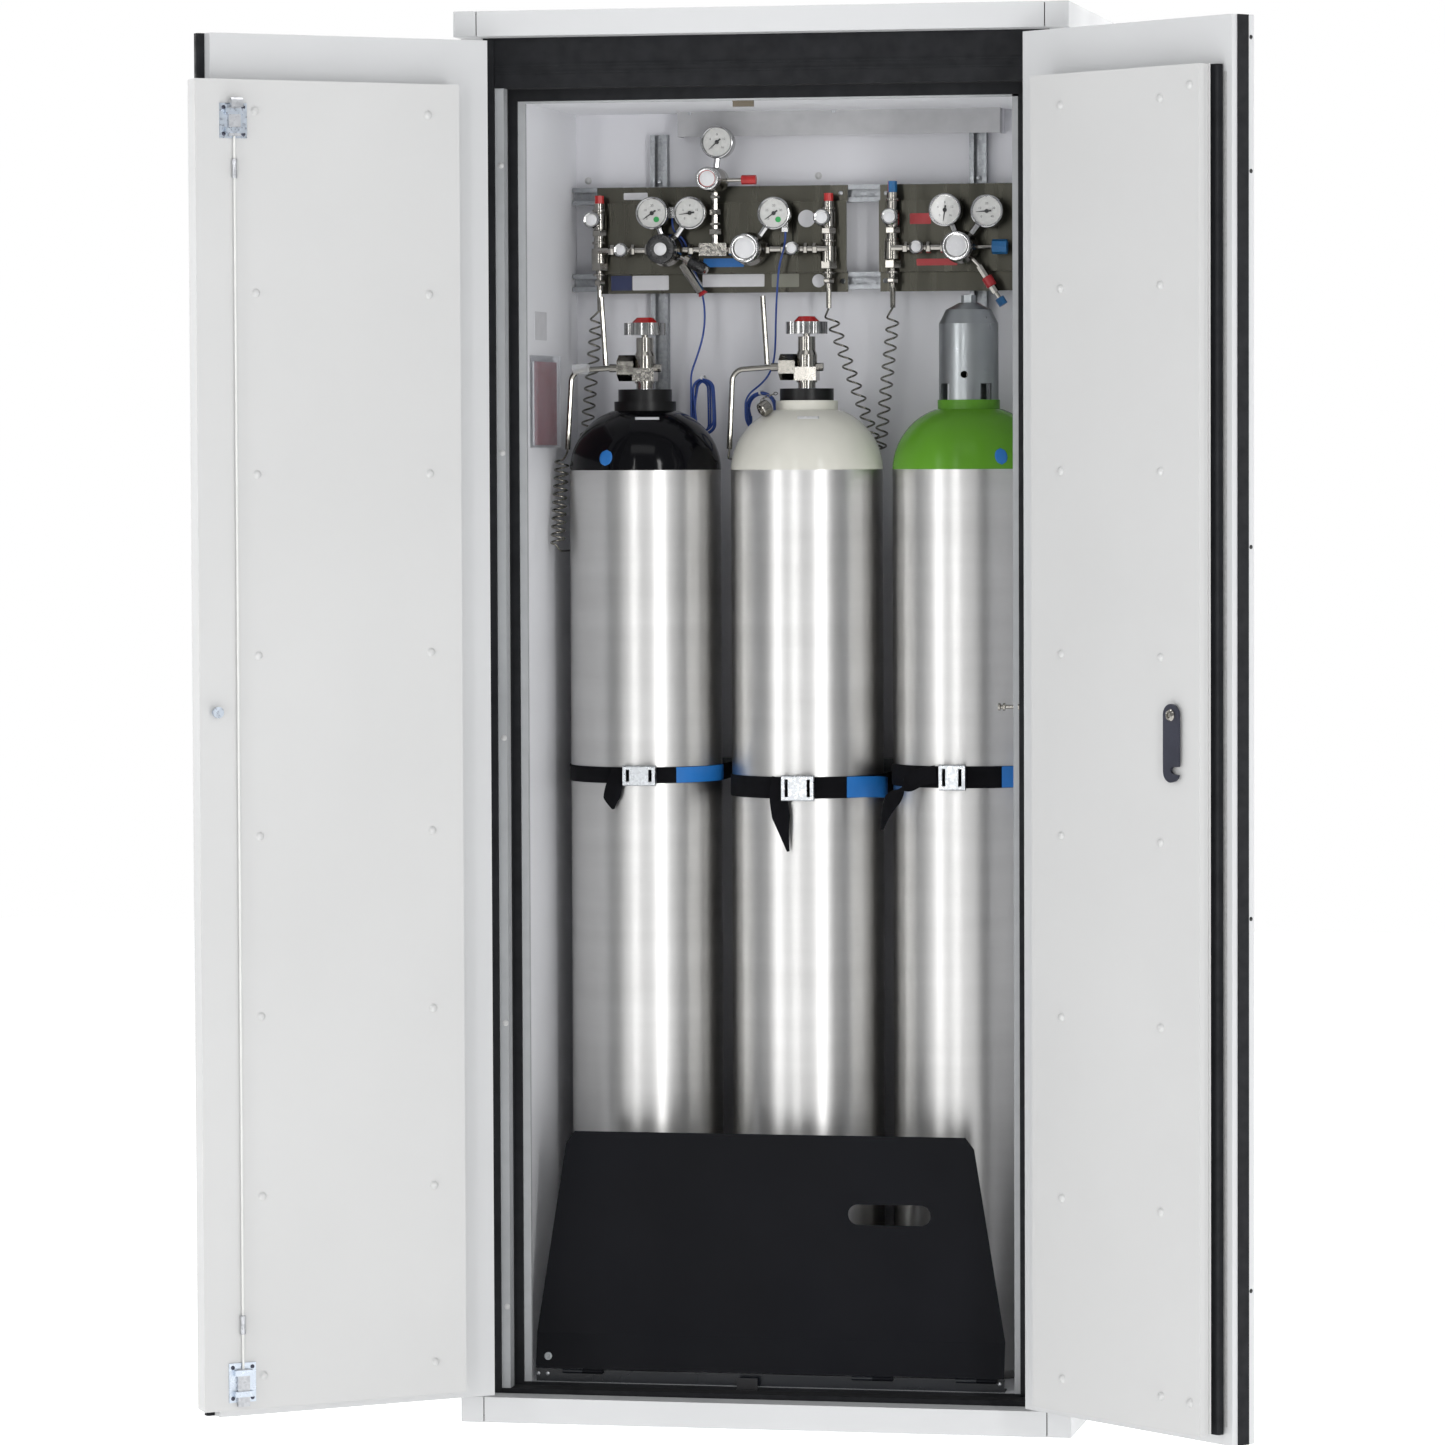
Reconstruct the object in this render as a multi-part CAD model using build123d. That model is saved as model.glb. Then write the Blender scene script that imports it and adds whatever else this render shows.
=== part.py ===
from build123d import *
import math
import os

# Fire-resistant cabinet for three gas cylinders, standing with both doors open. Millimetres, X to the
# right, Y to the back, Z up, with the origin at the middle of the underside.

# Flat sides of small pipes and fittings
bar_sides = 8

# Overall sizes
width = 898.0
depth = 617.0
height = 2050.0
half = width / 2
front = -depth / 2
rear = depth / 2

# Clearances and cuts
pin_fit = 0.05
gap = 0.3
overrun = 4.0

# Casing, depths measured from the front plane
sheet = 1.5
bend = 4.0
flange = 34.0
frame_d = 47.0
header_z = 2013.5
plinth_z = 37.0
fascia_return_d = 43.0
rear_in_d = depth - sheet

# Door frame: seal, trim strip, rebate and light inner ring
seal_w = 16.4
seal_thick = 5.0
band_thick = 3.0
bead = 3.0
bead_shares = (0.29, 0.44)
trim_w = 13.0
trim_return = 24.0
rebate_half = 385.0
rebate_low = 44.0
rebate_top = 1941.0
ring_half = 363.0
ring_top = 1921.0
ring_d = 90.0
ring_thick = 8.0
inner_seal = 4.0
strip_face_d = frame_d + sheet
ring_back_d = ring_d + ring_thick
casing_mouth = half - flange

# Inner liner
liner_half = 372.5
floor_z = 48.0
ceiling_z = 1924.0
liner_back_d = 520.0
board_d = 476.0
board_thick = 4.0
spacer_w = 20.0

# Exhaust duct
spigot_r = 37.5
spigot_wall = 1.5
spigot_d = 478.0
spigot_rise = 30.0
collar_r = 48.0
collar_thick = 2.0
well_half = spigot_r + spigot_wall
cover_share = (-0.2294, 0.3174)
cover_d = 430.0
cover_low = 1887.0

# Levelling feet
foot_r = 18.0
foot_high = 11.7
stem_r = 5.0
stem_high = 32.0
foot_x_share = 0.3786
foot_depths = (150.0, 560.0)

# Doors, closed: pivot, outer layer and stepped inner layer
pivot_in = 17.74
pivot_ahead = 7.17
leaf_edge = 3.17
leaf_d = 41.8
panel_d = 83.6
leaf_low = 46.0
leaf_high = 2005.0
panel_low = 61.3
panel_high = 1937.7
panel_edge_half = 381.0
leaf_bend = 2.0
window_in = 10.0
left_leaf_end = -14.5
left_panel_root = 20.5
left_panel_end = 26.5
right_leaf_end = 10.0
right_panel_end = 30.5
meeting_gap = 1.5
left_open = 141.23
right_open = 139.06

# Door edges: bulb seals and the layers of the right leaf's end
bulb_in_d = 8.0
bulb_w = 14.0
bulb_proud = 11.5
bulb_round = 4.0
end_strip_d = 12.0
end_strip_w = 20.0
inner_bulb_w = 13.0
inner_bulb_reach = 6.5
tray_edge = 10.0
core_edge = 8.0
core_set_back = 2.0
lining_edge = 3.0
seal_pocket = 7.5

# Barrel hinges
hinge_shares = (0.12, 0.5, 0.88)
barrel_r = 6.5
hinge_pin_r = 3.0
knuckle_half = 20.0
hinge_half = 49.0
hinge_plate = 2.0
hinge_plate_w = 40.0
arm_gap = 0.87
frame_plate_w = 28.0

# Snap bolts on the left leaf, and their keepers
latch_x = -30.5
latch_w = 41.0
latch_plate = 2.4
top_latch_z = (1855.0, 1904.0)
bottom_latch_z = (72.6, 128.5)
bolt_w = 18.0
bolt_thick = 5.0
bolt_set_off = 0.2
top_bolt_z = (1858.0, 1902.0)
bottom_bolt_z = (67.0, 120.0)
tongue_d = 97.0
tongue_thick = 4.0
tongue_rise = 9.0
tongue_bevel = 2.5
bridge_w = 28.0
bridge_high = 8.0
bridge_cover = 2.0
bridge_shares = (0.18, 0.72)
cord_r = 1.75
ferrule_r = 4.0
ferrule_low_z = (168.0, 198.0)
ferrule_high_z = (1799.0, 1826.0)
stud_x = 3.0
stud_r = 5.0
stud_head_r = 8.0
stud_long = 13.4
stud_head = 4.0
keeper_w = 31.0
keeper_x = -39.5
keeper_thick = 1.5
top_keeper_d = 92.0
top_keeper_low = 1912.0
bottom_keeper_d = 84.2
bottom_keeper_top = 61.5
keeper_foot = 8.0

# Swing handle and lock hook on the right leaf
lock_x = 80.0
lock_z = 1050.0
hook_reach = 77.0
hook_r = 19.0
hook_d = 88.0
hook_thick = 4.0
notch_w = 11.0
spindle_r = 5.0
spindle_flange_r = 12.0
spindle_out = 30.0
handle_hub_r = 13.0
handle_hub_d = 40.0
handle_grip_r = 9.0
handle_long = 130.0
handle_off = 34.0

# Mounting channels
rail_w = 26.0
rail_d = 18.0
rail_sheet = 2.0
rail_slot = 12.0
rail_x_shares = (-0.2684, 0.2751)
rail_low_share = 0.4293
rail_high_share = 0.9229
cross_rail_shares = (0.4571, 0.8141, 0.8778)

# Station plates, a pressed hat section on the cross channels
plate_sheet = 2.0
plate_low = 1652.0
plate_high = 1812.0
hat_low = 1681.0
hat_high = 1788.0
hat_rise = 12.0
left_plate_share = (-0.3697, 0.0586)
right_plate_share = (0.1136, 0.3786)
plate_hole_r = 4.0
plate_hole_share = 0.8137
plate_hole_in = 8.0
plate_back_d = board_d - 2 * rail_d
hat_d = plate_back_d - hat_rise - plate_sheet

# Regulators, gauges and valves of the stations, on one plane in front of the plates
line_d = 400.0
line_share = 0.8371
regulator_r = 25.0
bonnet_r = 18.0
bonnet_d = 372.3
regulator_face_d = 392.0
regulator_back_d = 412.0
boss_r = 12.0
regulator_x_shares = (-0.2416, -0.0987, 0.2572)
line_regulator_share = (-0.1592, 0.8878)
line_regulator_r = 19.0
line_regulator_ahead = 10.0
regulator_spindle_r = 3.0
regulator_spindle_long = 16.0
regulator_knob_r = 21.5
line_knob_r = 17.0
regulator_knob_long = 21.7
gauge_r = 24.0
gauge_face_d = 380.0
gauge_deep = 24.0
gauge_recess = 3.0
gauge_bezel = 2.5
gauge_stem_r = 5.0
gauge_shares = (
    (-0.2628, 0.8639, 0), (-0.1982, 0.8637, 0), (-0.0557, 0.8629, 1),
    (0.2327, 0.8638, 2), (0.3029, 0.8627, 2), (-0.1514, 0.9151, 3),
)
shutoff_x_shares = (-0.3151, -0.0245, 0.1854)
shutoff_r = 9.0
shutoff_knob_r = 10.0
shutoff_knob_d = 375.0
purge_knob_r = 12.0
purge_knob_d = 385.0
small_knob_long = 11.7
small_spindle_r = 2.5
small_spindle_long = 8.0
purge_x_shares = (-0.3675, 0.0245, 0.1386)
purge_share = 0.8595
purge_body_r = 9.0
column_x_shares = (-0.3594, 0.0314, 0.1396)
column_d = 410.0
column_low = 1657.0
column_high = 1787.0
column_r = 12.0
column_shares = ((0.0, 0.4), (0.3, 0.4), (0.3, 1.0), (0.48, 1.0), (0.48, 0.7), (1.0, 0.7))
pipe_r = 5.0
block_share = (-0.1849, -0.1381)
block_high = 19.0
riser_r = 6.0
outlet_r = 3.0

# Relief valves and outlet caps
relief_r = 7.0
relief_d = 390.0
relief_shares = ((-0.2094, 0.8302), (-0.1704, 0.8215))
drain_r = 6.0
drain_shares = ((-0.2127, 0.8263), (-0.1815, 0.8059))
right_relief_shares = ((0.2873, 0.8234), (0.3151, 0.8039), (0.3207, 0.8))
relief_neck_r = 3.0
red_cap_r = 7.0
blue_cap_r = 11.0
cap_high = 12.0
side_outlet = 22.0
blue_cap_long = 22.0

# Cylinders
cylinder_x_shares = (-0.2584, 0.0145, 0.2851)
cylinder_r = 113.0
cylinder_foot_r = 98.0
cylinder_foot_rise = 14.0
cylinder_wall = 6.5
cylinder_bore_r = 6.0
shoulder_z = 1385.0
shoulder_top = 1474.0
shoulder_top_r = 50.0
neck_r = 14.0
neck_z = 1507.0
ring_low_r = 46.0
ring_low_high = 14.0
ring_up_r = 40.0
ring_up_high = 18.0
guard_r = 44.0
guard_wall = 3.0
guard_top = 1631.0
guard_dome = 31.0
guard_crown_r = 14.0
guard_hole_r = 5.3
guard_hole_z = 1525.0
guard_slot_w = 20.0
guard_slot_high = 24.0
guard_nut_r = 11.0
guard_nut_high = 11.0

# Cylinder valves and handwheels
valve_low_r = 13.0
valve_body_r = 15.5
valve_body_z = (1515.0, 1556.0)
valve_gland_r = 13.0
valve_gland_top = 1583.0
stem_top = 1599.0
outlet_z = 1538.0
valve_nut = (15.0, 40.0)
valve_nut_r = 19.5
valve_block = 33.0
valve_block_high = 20.0
valve_plug_r = 6.0
valve_plug_reach = 25.0
wheel_r = 31.0
wheel_low = 1587.0
wheel_high = 18.0
wheel_lobes = 6
wheel_scallop_r = 7.0
wheel_cap_r = 20.0
wheel_cap_high = 8.0

# Pigtails: thick tubes, closed stand pipes and the wire-thin coils
tube_r = 4.0
tube_bend = 18.0
fitting_r = 6.0
fitting_long = 14.0
stand_high = 106.0
stand_lean = 6.5
tube_reaches = ((-112.0, -119.0), (-112.0, -117.5))
tube_top_drop = 4.0
tube_low_z = 1417.0
lead_low_z = 1627.0
wire = 3.0
coil_r = 9.0
front_coil_r = 10.0
front_coil_halves = 21
back_coil_halves = 20
middle_coil_halves = 21
right_coil_halves = 22
wire_end = 3.5
front_coil_axis = ((-357.0, 296.0, 1402.0), (-357.0, 264.0, 1276.0))
back_coil_axis = ((-326.0, 402.0, 1614.0), (-342.0, 400.0, 1440.0))
middle_coil_axis = ((33.0, 402.0, 1614.0), (103.5, 396.0, 1418.0))
right_coil_axis = ((127.0, 404.0, 1613.0), (102.0, 428.0, 1412.0))
return_x = -350.5
round_gap = 8.0
stowed_nut_r = 8.0
stowed_nut_high = 14.0

# Signal cables
cable = 3.0
cable_pitch = 3.6
socket_w = 9.0
socket_high = 16.0
left_cable_route = (
    (-208.6, 400.0, 1764.0), (-208.6, 400.0, 1752.0), (-205.5, 405.5, 1741.5), (-193.5, 410.5, 1733.0),
    (-187.5, 412.5, 1716.0), (-180.0, 414.0, 1690.0), (-170.0, 413.0, 1667.0), (-162.5, 410.0, 1641.0),
    (-160.0, 406.0, 1613.0), (-162.5, 402.0, 1585.0), (-170.5, 398.0, 1557.0), (-179.5, 393.5, 1531.0),
    (-179.5, 393.5, 1513.0),
)
right_cable_route = (
    (-33.5, 389.0, 1741.0), (-33.5, 389.0, 1729.0), (-37.0, 389.5, 1712.0), (-43.0, 389.0, 1693.0),
    (-46.5, 393.0, 1666.0), (-49.0, 397.0, 1638.0), (-50.5, 399.0, 1609.0), (-51.0, 399.5, 1579.0),
    (-52.5, 397.0, 1551.0), (-59.0, 394.0, 1529.0), (-73.0, 392.0, 1512.5), (-88.0, 390.0, 1502.0),
    (-95.5, 389.0, 1489.0), (-95.5, 389.0, 1478.0),
)
hank_half = 17.0
hank_low = 1465.0
hank_high = 1507.0
hank_loops = 5
loop_half = 23.0
loop_low = 1466.5
loop_high = 1479.0
loop_loops = 5

# Straps and buckles
strap_thick = 2.0
strap_shares = ((0.4507, 0.4624), (0.4405, 0.4561), (0.4488, 0.4644))
buckle_offsets = ((-10.0, 39.0), (-17.0, 31.0), (-26.0, 13.0))
buckle_thick = 12.0
buckle_over = 3.0
buckle_round = 2.5
buckle_slot = 5.0
tail_w = 31.0
tail_drops = (41.0, 76.0)

# Document pocket on the left wall
pocket_depths = (152.0, 309.0)
pocket_z = (1420.0, 1556.0)
pocket_out = 12.0
pocket_wall = 2.0

# Folding roll-in ramp
ramp_axis_d = 94.0
ramp_axis_z = 64.0
ramp_sheet = 2.0
ramp_lean = 12.5
ramp_foot_long = 56.0
ramp_top = 417.0
ramp_centre = -10.0
ramp_half = 348.0
ramp_shoulder_half = 303.0
ramp_top_half = 290.0
ramp_chamfer = 17.0
ramp_start = 3.5
grip_x = 168.0
grip_z = 302.0
grip_w = 122.0
grip_high = 30.0
ramp_barrel_r = 3.2
ramp_pin_r = 1.6
ramp_knuckle_half = 15.0
ramp_hinge_half = 45.0
ramp_hinge_shares = (-0.84, 0.4, 0.84)
base_top = 66.0
base_d = 98.5
base_sheet = 2.0
base_foot = 25.0


DOWN = Vector(0, 0, -1)


def place(x, d, z):
    """Point from X, depth behind the front plane and Z."""
    return Vector(x, front + d, z)


def into(*depths):
    """Y places at these depths behind the front plane."""
    return tuple(front + d for d in depths)


def block(x, y, z):
    """Box between two planes along each axis."""
    sizes = [abs(b - a) for a, b in (x, y, z)]
    middle = [(a + b) / 2 for a, b in (x, y, z)]
    return Pos(*middle) * Box(*sizes)


def rect(x, y):
    """Flat rectangle between two lines along each axis."""
    return Pos((x[0] + x[1]) / 2, (y[0] + y[1]) / 2) * Rectangle(abs(x[1] - x[0]), abs(y[1] - y[0]))


def rod(start, end, radius):
    """Round bar between two points."""
    line = Vector(end) - Vector(start)
    place = Plane(origin=Vector(start), z_dir=line)
    return place * Cylinder(radius, line.length, align=(Align.CENTER, Align.CENTER, Align.MIN))


def bar(start, end, radius, sides=bar_sides):
    """Bar with flat sides between two points, for small pipes and fittings."""
    line = Vector(end) - Vector(start)
    return Plane(origin=Vector(start), z_dir=line) * extrude(RegularPolygon(radius, sides), line.length)


def hexagon(start, end, radius):
    return bar(start, end, radius, 6)


def turned(outline, origin, axis):
    """Solid of revolution of (radius, height) points about an axis through the origin given."""
    face = make_face(Plane.XZ * Polyline(*outline, close=True))
    return Plane(origin=Vector(origin), z_dir=Vector(axis)) * revolve(face, Axis.Z)


def pair(shape):
    """A piece and its mirror image on the other side of the cabinet."""
    return [shape, mirror(shape, about=Plane.YZ)]


def along_x(section, x):
    """Section drawn as (Y, Z), extruded from the first X to the second."""
    return Pos(x[0], 0, 0) * extrude(Plane.YZ * section, x[1] - x[0], dir=(1, 0, 0))


def share_x(share):
    return share * width


def share_z(share):
    return share * height


def save(name, shapes):
    """Writes the solids of one node as one STEP file."""
    solids = [solid for shape in shapes for solid in shape.solids()]
    export_step(Compound(solids), f"parts/{name}.step")


# Casing and door frame


def side_plan(face_y):
    """Plan of the left side panel, its front edge turned inwards round a bend."""
    outer = rect((-half, -casing_mouth), (face_y, rear - sheet))
    inner = rect((-half + sheet, -casing_mouth + overrun), (face_y + sheet, rear))
    plans = []
    for plate, radius in ((outer, bend), (inner, bend - sheet)):
        corner = min(plate.vertices(), key=lambda v: v.X + v.Y)
        plans.append(fillet(corner, radius))
    return plans[0] - plans[1]


def side_panel():
    """Left side panel: it comes forward beside the header and plinth and steps back at the door frame."""
    frame_y = front + frame_d
    zones = (
        (front, sheet, plinth_z), (frame_y, plinth_z, header_z), (front, header_z, height - sheet),
    )
    panel = Part()
    for face_y, low, high in zones:
        panel += Pos(0, 0, low) * extrude(side_plan(face_y), high - low)
    for low in (plinth_z - sheet, header_z):
        panel += block((-half + sheet, -casing_mouth), (front + sheet, frame_y + sheet), (low, low + sheet))
    return panel


def foot_places():
    return [(side * share_x(foot_x_share), front + d) for side in (-1, 1) for d in foot_depths]


def end_sheet(low):
    """Roof or base sheet with rounded front corners."""
    sheet_plan = rect((-half, half), (front, rear))
    corners = sheet_plan.vertices().sort_by(Axis.Y)[:2]
    return Pos(0, 0, low) * extrude(fillet(corners, bend), sheet)


def outer_casing():
    roof = end_sheet(height - sheet)
    roof -= rod((0, front + spigot_d, height - overrun), (0, front + spigot_d, height + overrun), spigot_r + gap)
    base = end_sheet(0)
    for x, y in foot_places():
        base -= bar((x, y, -overrun), (x, y, overrun), foot_r + 2 * gap, 2 * bar_sides)
    back = block((-half + sheet, half - sheet), (rear - sheet, rear), (sheet, height - sheet))
    return [*pair(side_panel()), roof, base, back]


def around_well(y_low, y_high, z, half_x):
    """Four plates that leave the square exhaust well open."""
    y_well = into(spigot_d - well_half, spigot_d + well_half)
    plates = [block((-half_x, half_x), (y_low, y_well[0]), z)]
    plates += pair(block((well_half, half_x), (y_well[0], min(y_well[1], y_high)), z))
    if y_high > y_well[1]:
        plates.append(block((-half_x, half_x), (y_well[1], y_high), z))
    return plates


def corner_board(x, y, z):
    """Board on the right with its front outer corner rounded to fit the casing's bend."""
    plan = rect(x, y)
    corner = max(plan.vertices(), key=lambda v: v.X - v.Y)
    return Pos(0, 0, z[0]) * extrude(fillet(corner, bend - sheet), z[1] - z[0])


def insulation_boards():
    inner = liner_half + sheet
    outer = half - sheet
    low, high = sheet, height - sheet
    strip_in = rebate_half + sheet
    body_y = into(ring_back_d, rear_in_d)
    strip_y = into(strip_face_d, ring_back_d)
    fascia_y = into(sheet, frame_d)
    mouth = casing_mouth - sheet
    base = block((-inner, inner), body_y, (low, floor_z - sheet))
    for x, y in foot_places():
        base -= bar((x, y, -overrun), (x, y, foot_high + gap), foot_r + 2 * gap, 2 * bar_sides)
        base -= bar((x, y, -overrun), (x, y, stem_high + gap), stem_r + gap)
    return [
        *pair(block((inner, outer), body_y, (low, high))),
        *pair(corner_board((strip_in, outer), strip_y, (low, high))),
        block((-strip_in, strip_in), strip_y, (rebate_top, high)),
        block((-strip_in, strip_in), strip_y, (low, rebate_low)),
        block((-mouth, mouth), fascia_y, (header_z + sheet, high)),
        block((-mouth, mouth), fascia_y, (low, plinth_z - sheet)),
        block((-inner, inner), into(liner_back_d + sheet, rear_in_d), (floor_z - sheet, ceiling_z + sheet)),
        base,
        *around_well(*body_y, (ceiling_z + sheet, high), inner),
    ]


def inner_liner():
    y = into(ring_back_d, liner_back_d)
    sides = block((liner_half, liner_half + sheet), (y[0], y[1] + sheet), (floor_z - sheet, ceiling_z + sheet))
    back = block((-liner_half, liner_half), (y[1], y[1] + sheet), (floor_z - sheet, ceiling_z + sheet))
    floor = block((-liner_half, liner_half), y, (floor_z - sheet, floor_z))
    return [*pair(sides), back, floor, *around_well(*y, (ceiling_z, ceiling_z + sheet), liner_half)]


def front_fascias():
    mouth = casing_mouth - sheet
    header = block((-mouth, mouth), into(0, sheet), (header_z, height - sheet))
    header += block((-mouth, mouth), into(0, fascia_return_d), (header_z, header_z + sheet))
    plinth = block((-mouth, mouth), into(0, sheet), (sheet, plinth_z))
    plinth += block((-mouth, mouth), into(0, fascia_return_d), (plinth_z - sheet, plinth_z))
    return [header, plinth]


def frame_seal():
    """Black seal round the door frame, the ribbed band over the doors and the seal inside the rebate."""
    seal_in = casing_mouth - gap - seal_w
    full_z = (plinth_z + gap, header_z - gap)
    band_y = into(strip_face_d - band_thick, strip_face_d)
    side = block((seal_in, seal_in + seal_w), into(strip_face_d - seal_thick, strip_face_d), full_z)
    band = block((-seal_in, seal_in), band_y, (rebate_top, full_z[1]))
    for share in bead_shares:
        bead_z = rebate_top + share * (full_z[1] - rebate_top)
        band += block((-seal_in, seal_in), (band_y[0] - bead / 2, band_y[0]), (bead_z, bead_z + bead))
    sill = block((-seal_in, seal_in), band_y, (full_z[0], rebate_low))
    lip_y = into(ring_d - inner_seal, ring_d)
    lip_in = liner_half + sheet
    lip_side = block((lip_in, rebate_half + sheet), lip_y, (rebate_low, rebate_top))
    lip_top = block((-lip_in, lip_in), lip_y, (ceiling_z, rebate_top))
    lip_low = block((-lip_in, lip_in), lip_y, (rebate_low, floor_z))
    return [*pair(side), band, sill, *pair(lip_side), lip_top, lip_low]


def frame_trim():
    """Grey strips beside the doorway and the light ring that closes the liner's front edge."""
    z = (rebate_low, rebate_top)
    strip = block((rebate_half, rebate_half + trim_w), into(frame_d, frame_d + sheet), z)
    strip += block((rebate_half, rebate_half + sheet), into(frame_d, frame_d + trim_return), z)
    ring_y = into(ring_d, ring_back_d)
    side = block((ring_half, rebate_half + sheet), ring_y, z)
    top = block((-ring_half, ring_half), ring_y, (ring_top, rebate_top))
    low = block((-ring_half, ring_half), ring_y, (rebate_low, floor_z))
    return [*pair(strip), *pair(side), top, low]


def latch_keepers():
    x = (keeper_x - keeper_w / 2, keeper_x + keeper_w / 2)
    top = block(x, into(top_keeper_d, top_keeper_d + 2 * keeper_thick), (top_keeper_low, ring_top))
    top += block(x, into(ring_d, top_keeper_d + keeper_thick), (ring_top - keeper_thick, ring_top))
    low = block(x, into(bottom_keeper_d, bottom_keeper_d + keeper_thick), (rebate_low, bottom_keeper_top))
    foot_y = into(bottom_keeper_d - keeper_foot, bottom_keeper_d + keeper_thick)
    low += block(x, foot_y, (rebate_low, rebate_low + keeper_thick))
    return [top, low]


def rear_board():
    board = block((-liner_half, liner_half), into(board_d, board_d + board_thick), (floor_z, ceiling_z))
    spacer_y = into(board_d + board_thick, liner_back_d)
    spacer = block((liner_half - spacer_w, liner_half), spacer_y, (floor_z, ceiling_z))
    return [board, *pair(spacer)]


def air_duct_cover():
    x = [share_x(share) for share in cover_share]
    z = (cover_low, ceiling_z)
    cover = block(x, into(cover_d, board_d), z)
    hollow = (x[0] + sheet, x[1] - sheet)
    cover -= block(hollow, into(cover_d + sheet, board_d + overrun), (z[0] - overrun, z[1] + overrun))
    return [cover]


def exhaust_spigot():
    inner = spigot_r - spigot_wall
    outline = [
        (inner, ceiling_z), (spigot_r, ceiling_z), (spigot_r, height), (collar_r, height),
        (collar_r, height + collar_thick), (spigot_r, height + collar_thick),
        (spigot_r, height + spigot_rise), (inner, height + spigot_rise),
    ]
    return [turned(outline, (0, front + spigot_d, 0), (0, 0, 1))]


def levelling_feet():
    feet = []
    for x, y in foot_places():
        foot = bar((x, y, 0), (x, y, foot_high), foot_r, 2 * bar_sides)
        feet.append(foot + bar((x, y, 0), (x, y, stem_high), stem_r))
    return feet


# Fittings on the rear wall


def channel_section():
    """Lipped channel, its back on the line Y = 0 and its slot towards -Y."""
    outer = rect((-rail_w / 2, rail_w / 2), (-rail_d, 0))
    inner_x = rail_w / 2 - rail_sheet
    hollow = rect((-inner_x, inner_x), (-rail_d + rail_sheet, -rail_sheet))
    slot = rect((-rail_slot / 2, rail_slot / 2), (-rail_d - overrun, -rail_d / 2))
    return outer - hollow - slot


def mounting_rails():
    section = channel_section()
    rails = []
    low, high = share_z(rail_low_share), share_z(rail_high_share)
    for share in rail_x_shares:
        rails.append(Pos(share_x(share), front + board_d, low) * extrude(section, high - low))
    reach = liner_half - sheet
    for share in cross_rail_shares:
        rail = Rot(0, 90, 0) * extrude(section, 2 * reach)
        rails.append(Pos(-reach, front + board_d - rail_d, share_z(share)) * rail)
    return rails


def hat_section():
    """Station plate as (Y, Z): two flanges on the channels and a raised middle."""
    back = front + plate_back_d
    flange_y = (back - plate_sheet, back)
    raised = rect((front + hat_d, back), (hat_low, hat_high))
    hollow_y = (front + hat_d + plate_sheet, back + overrun)
    raised -= rect(hollow_y, (hat_low + plate_sheet, hat_high - plate_sheet))
    return raised + rect(flange_y, (plate_low, hat_low + plate_sheet)) + rect(flange_y, (hat_high - plate_sheet, plate_high))


def station_plates():
    plates = []
    for shares, end in ((left_plate_share, 1), (right_plate_share, 0)):
        x = [share_x(share) for share in shares]
        hole_x = x[end] + (plate_hole_in if end == 0 else -plate_hole_in)
        y = into(hat_d, plate_back_d + overrun)
        hole = rod((hole_x, y[0], share_z(plate_hole_share)), (hole_x, y[1], share_z(plate_hole_share)), plate_hole_r)
        plates.append(along_x(hat_section(), x) - hole)
    return plates


def regulator_body(x, z, radius, ahead):
    """Regulator turned about a line that runs to the back, with its adjusting spindle in front."""
    scale = radius / regulator_r
    face = bonnet_d - ahead
    tip = face - regulator_spindle_long
    outline = [
        (0, tip), (regulator_spindle_r, tip), (regulator_spindle_r, face), (bonnet_r * scale, face),
        (radius, regulator_face_d), (radius, regulator_back_d), (boss_r * scale, regulator_back_d),
        (boss_r * scale, hat_d), (0, hat_d),
    ]
    return turned(outline, (x, front, z), (0, 1, 0))


def shutoff_body(x, z):
    face = shutoff_knob_d + small_knob_long + gap
    tip = face - small_spindle_long
    outline = [
        (0, tip), (small_spindle_r, tip), (small_spindle_r, face), (shutoff_r, face),
        (shutoff_r, regulator_back_d), (0, regulator_back_d),
    ]
    return turned(outline, (x, front, z), (0, 1, 0))


def inlet_column(index, high, step):
    """Upright inlet fitting with its purge valve, which faces forward, and its pipe to the shut-off valve."""
    x = share_x(column_x_shares[index])
    rise = high - column_low
    outline = [(0, column_low)]
    outline += [(r * column_r, column_low + t * rise) for t, r in column_shares]
    outline.append((0, high))
    column = turned(outline, (x, front + column_d, 0), (0, 0, 1))
    knob_x = share_x(purge_x_shares[index])
    face = purge_knob_d + small_knob_long + gap
    z = share_z(purge_share)
    column += bar((knob_x, front + face, z), (knob_x, front + column_d, z), purge_body_r)
    column += level_pipe(*sorted((x, share_x(shutoff_x_shares[index]) - step * shutoff_r)))
    column += rod((knob_x, front + face - small_spindle_long, z), (knob_x, front + face, z), small_spindle_r)
    return column


def level_pipe(x_low, x_high, radius=pipe_r):
    y, z = front + line_d, share_z(line_share)
    return bar((x_low, y, z), (x_high, y, z), radius)


def station_line(index, step, column_top):
    """Inlet column, shut-off valve and regulator of one line, which runs from its column towards step."""
    z = share_z(line_share)
    valve = share_x(shutoff_x_shares[index])
    regulator = share_x(regulator_x_shares[index])
    return [
        inlet_column(index, column_top, step), shutoff_body(valve, z), regulator_body(regulator, z, regulator_r, 0),
        level_pipe(*sorted((valve + step * shutoff_r, regulator - step * regulator_r))),
    ]


def at_shares(shares, d):
    return (share_x(shares[0]), front + d, share_z(shares[1]))


def toward(centre, target, distance):
    """Point at a distance from one place on the way to another."""
    way = Vector(target) - Vector(centre)
    return tuple(Vector(centre) + way.normalized() * distance)


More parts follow.
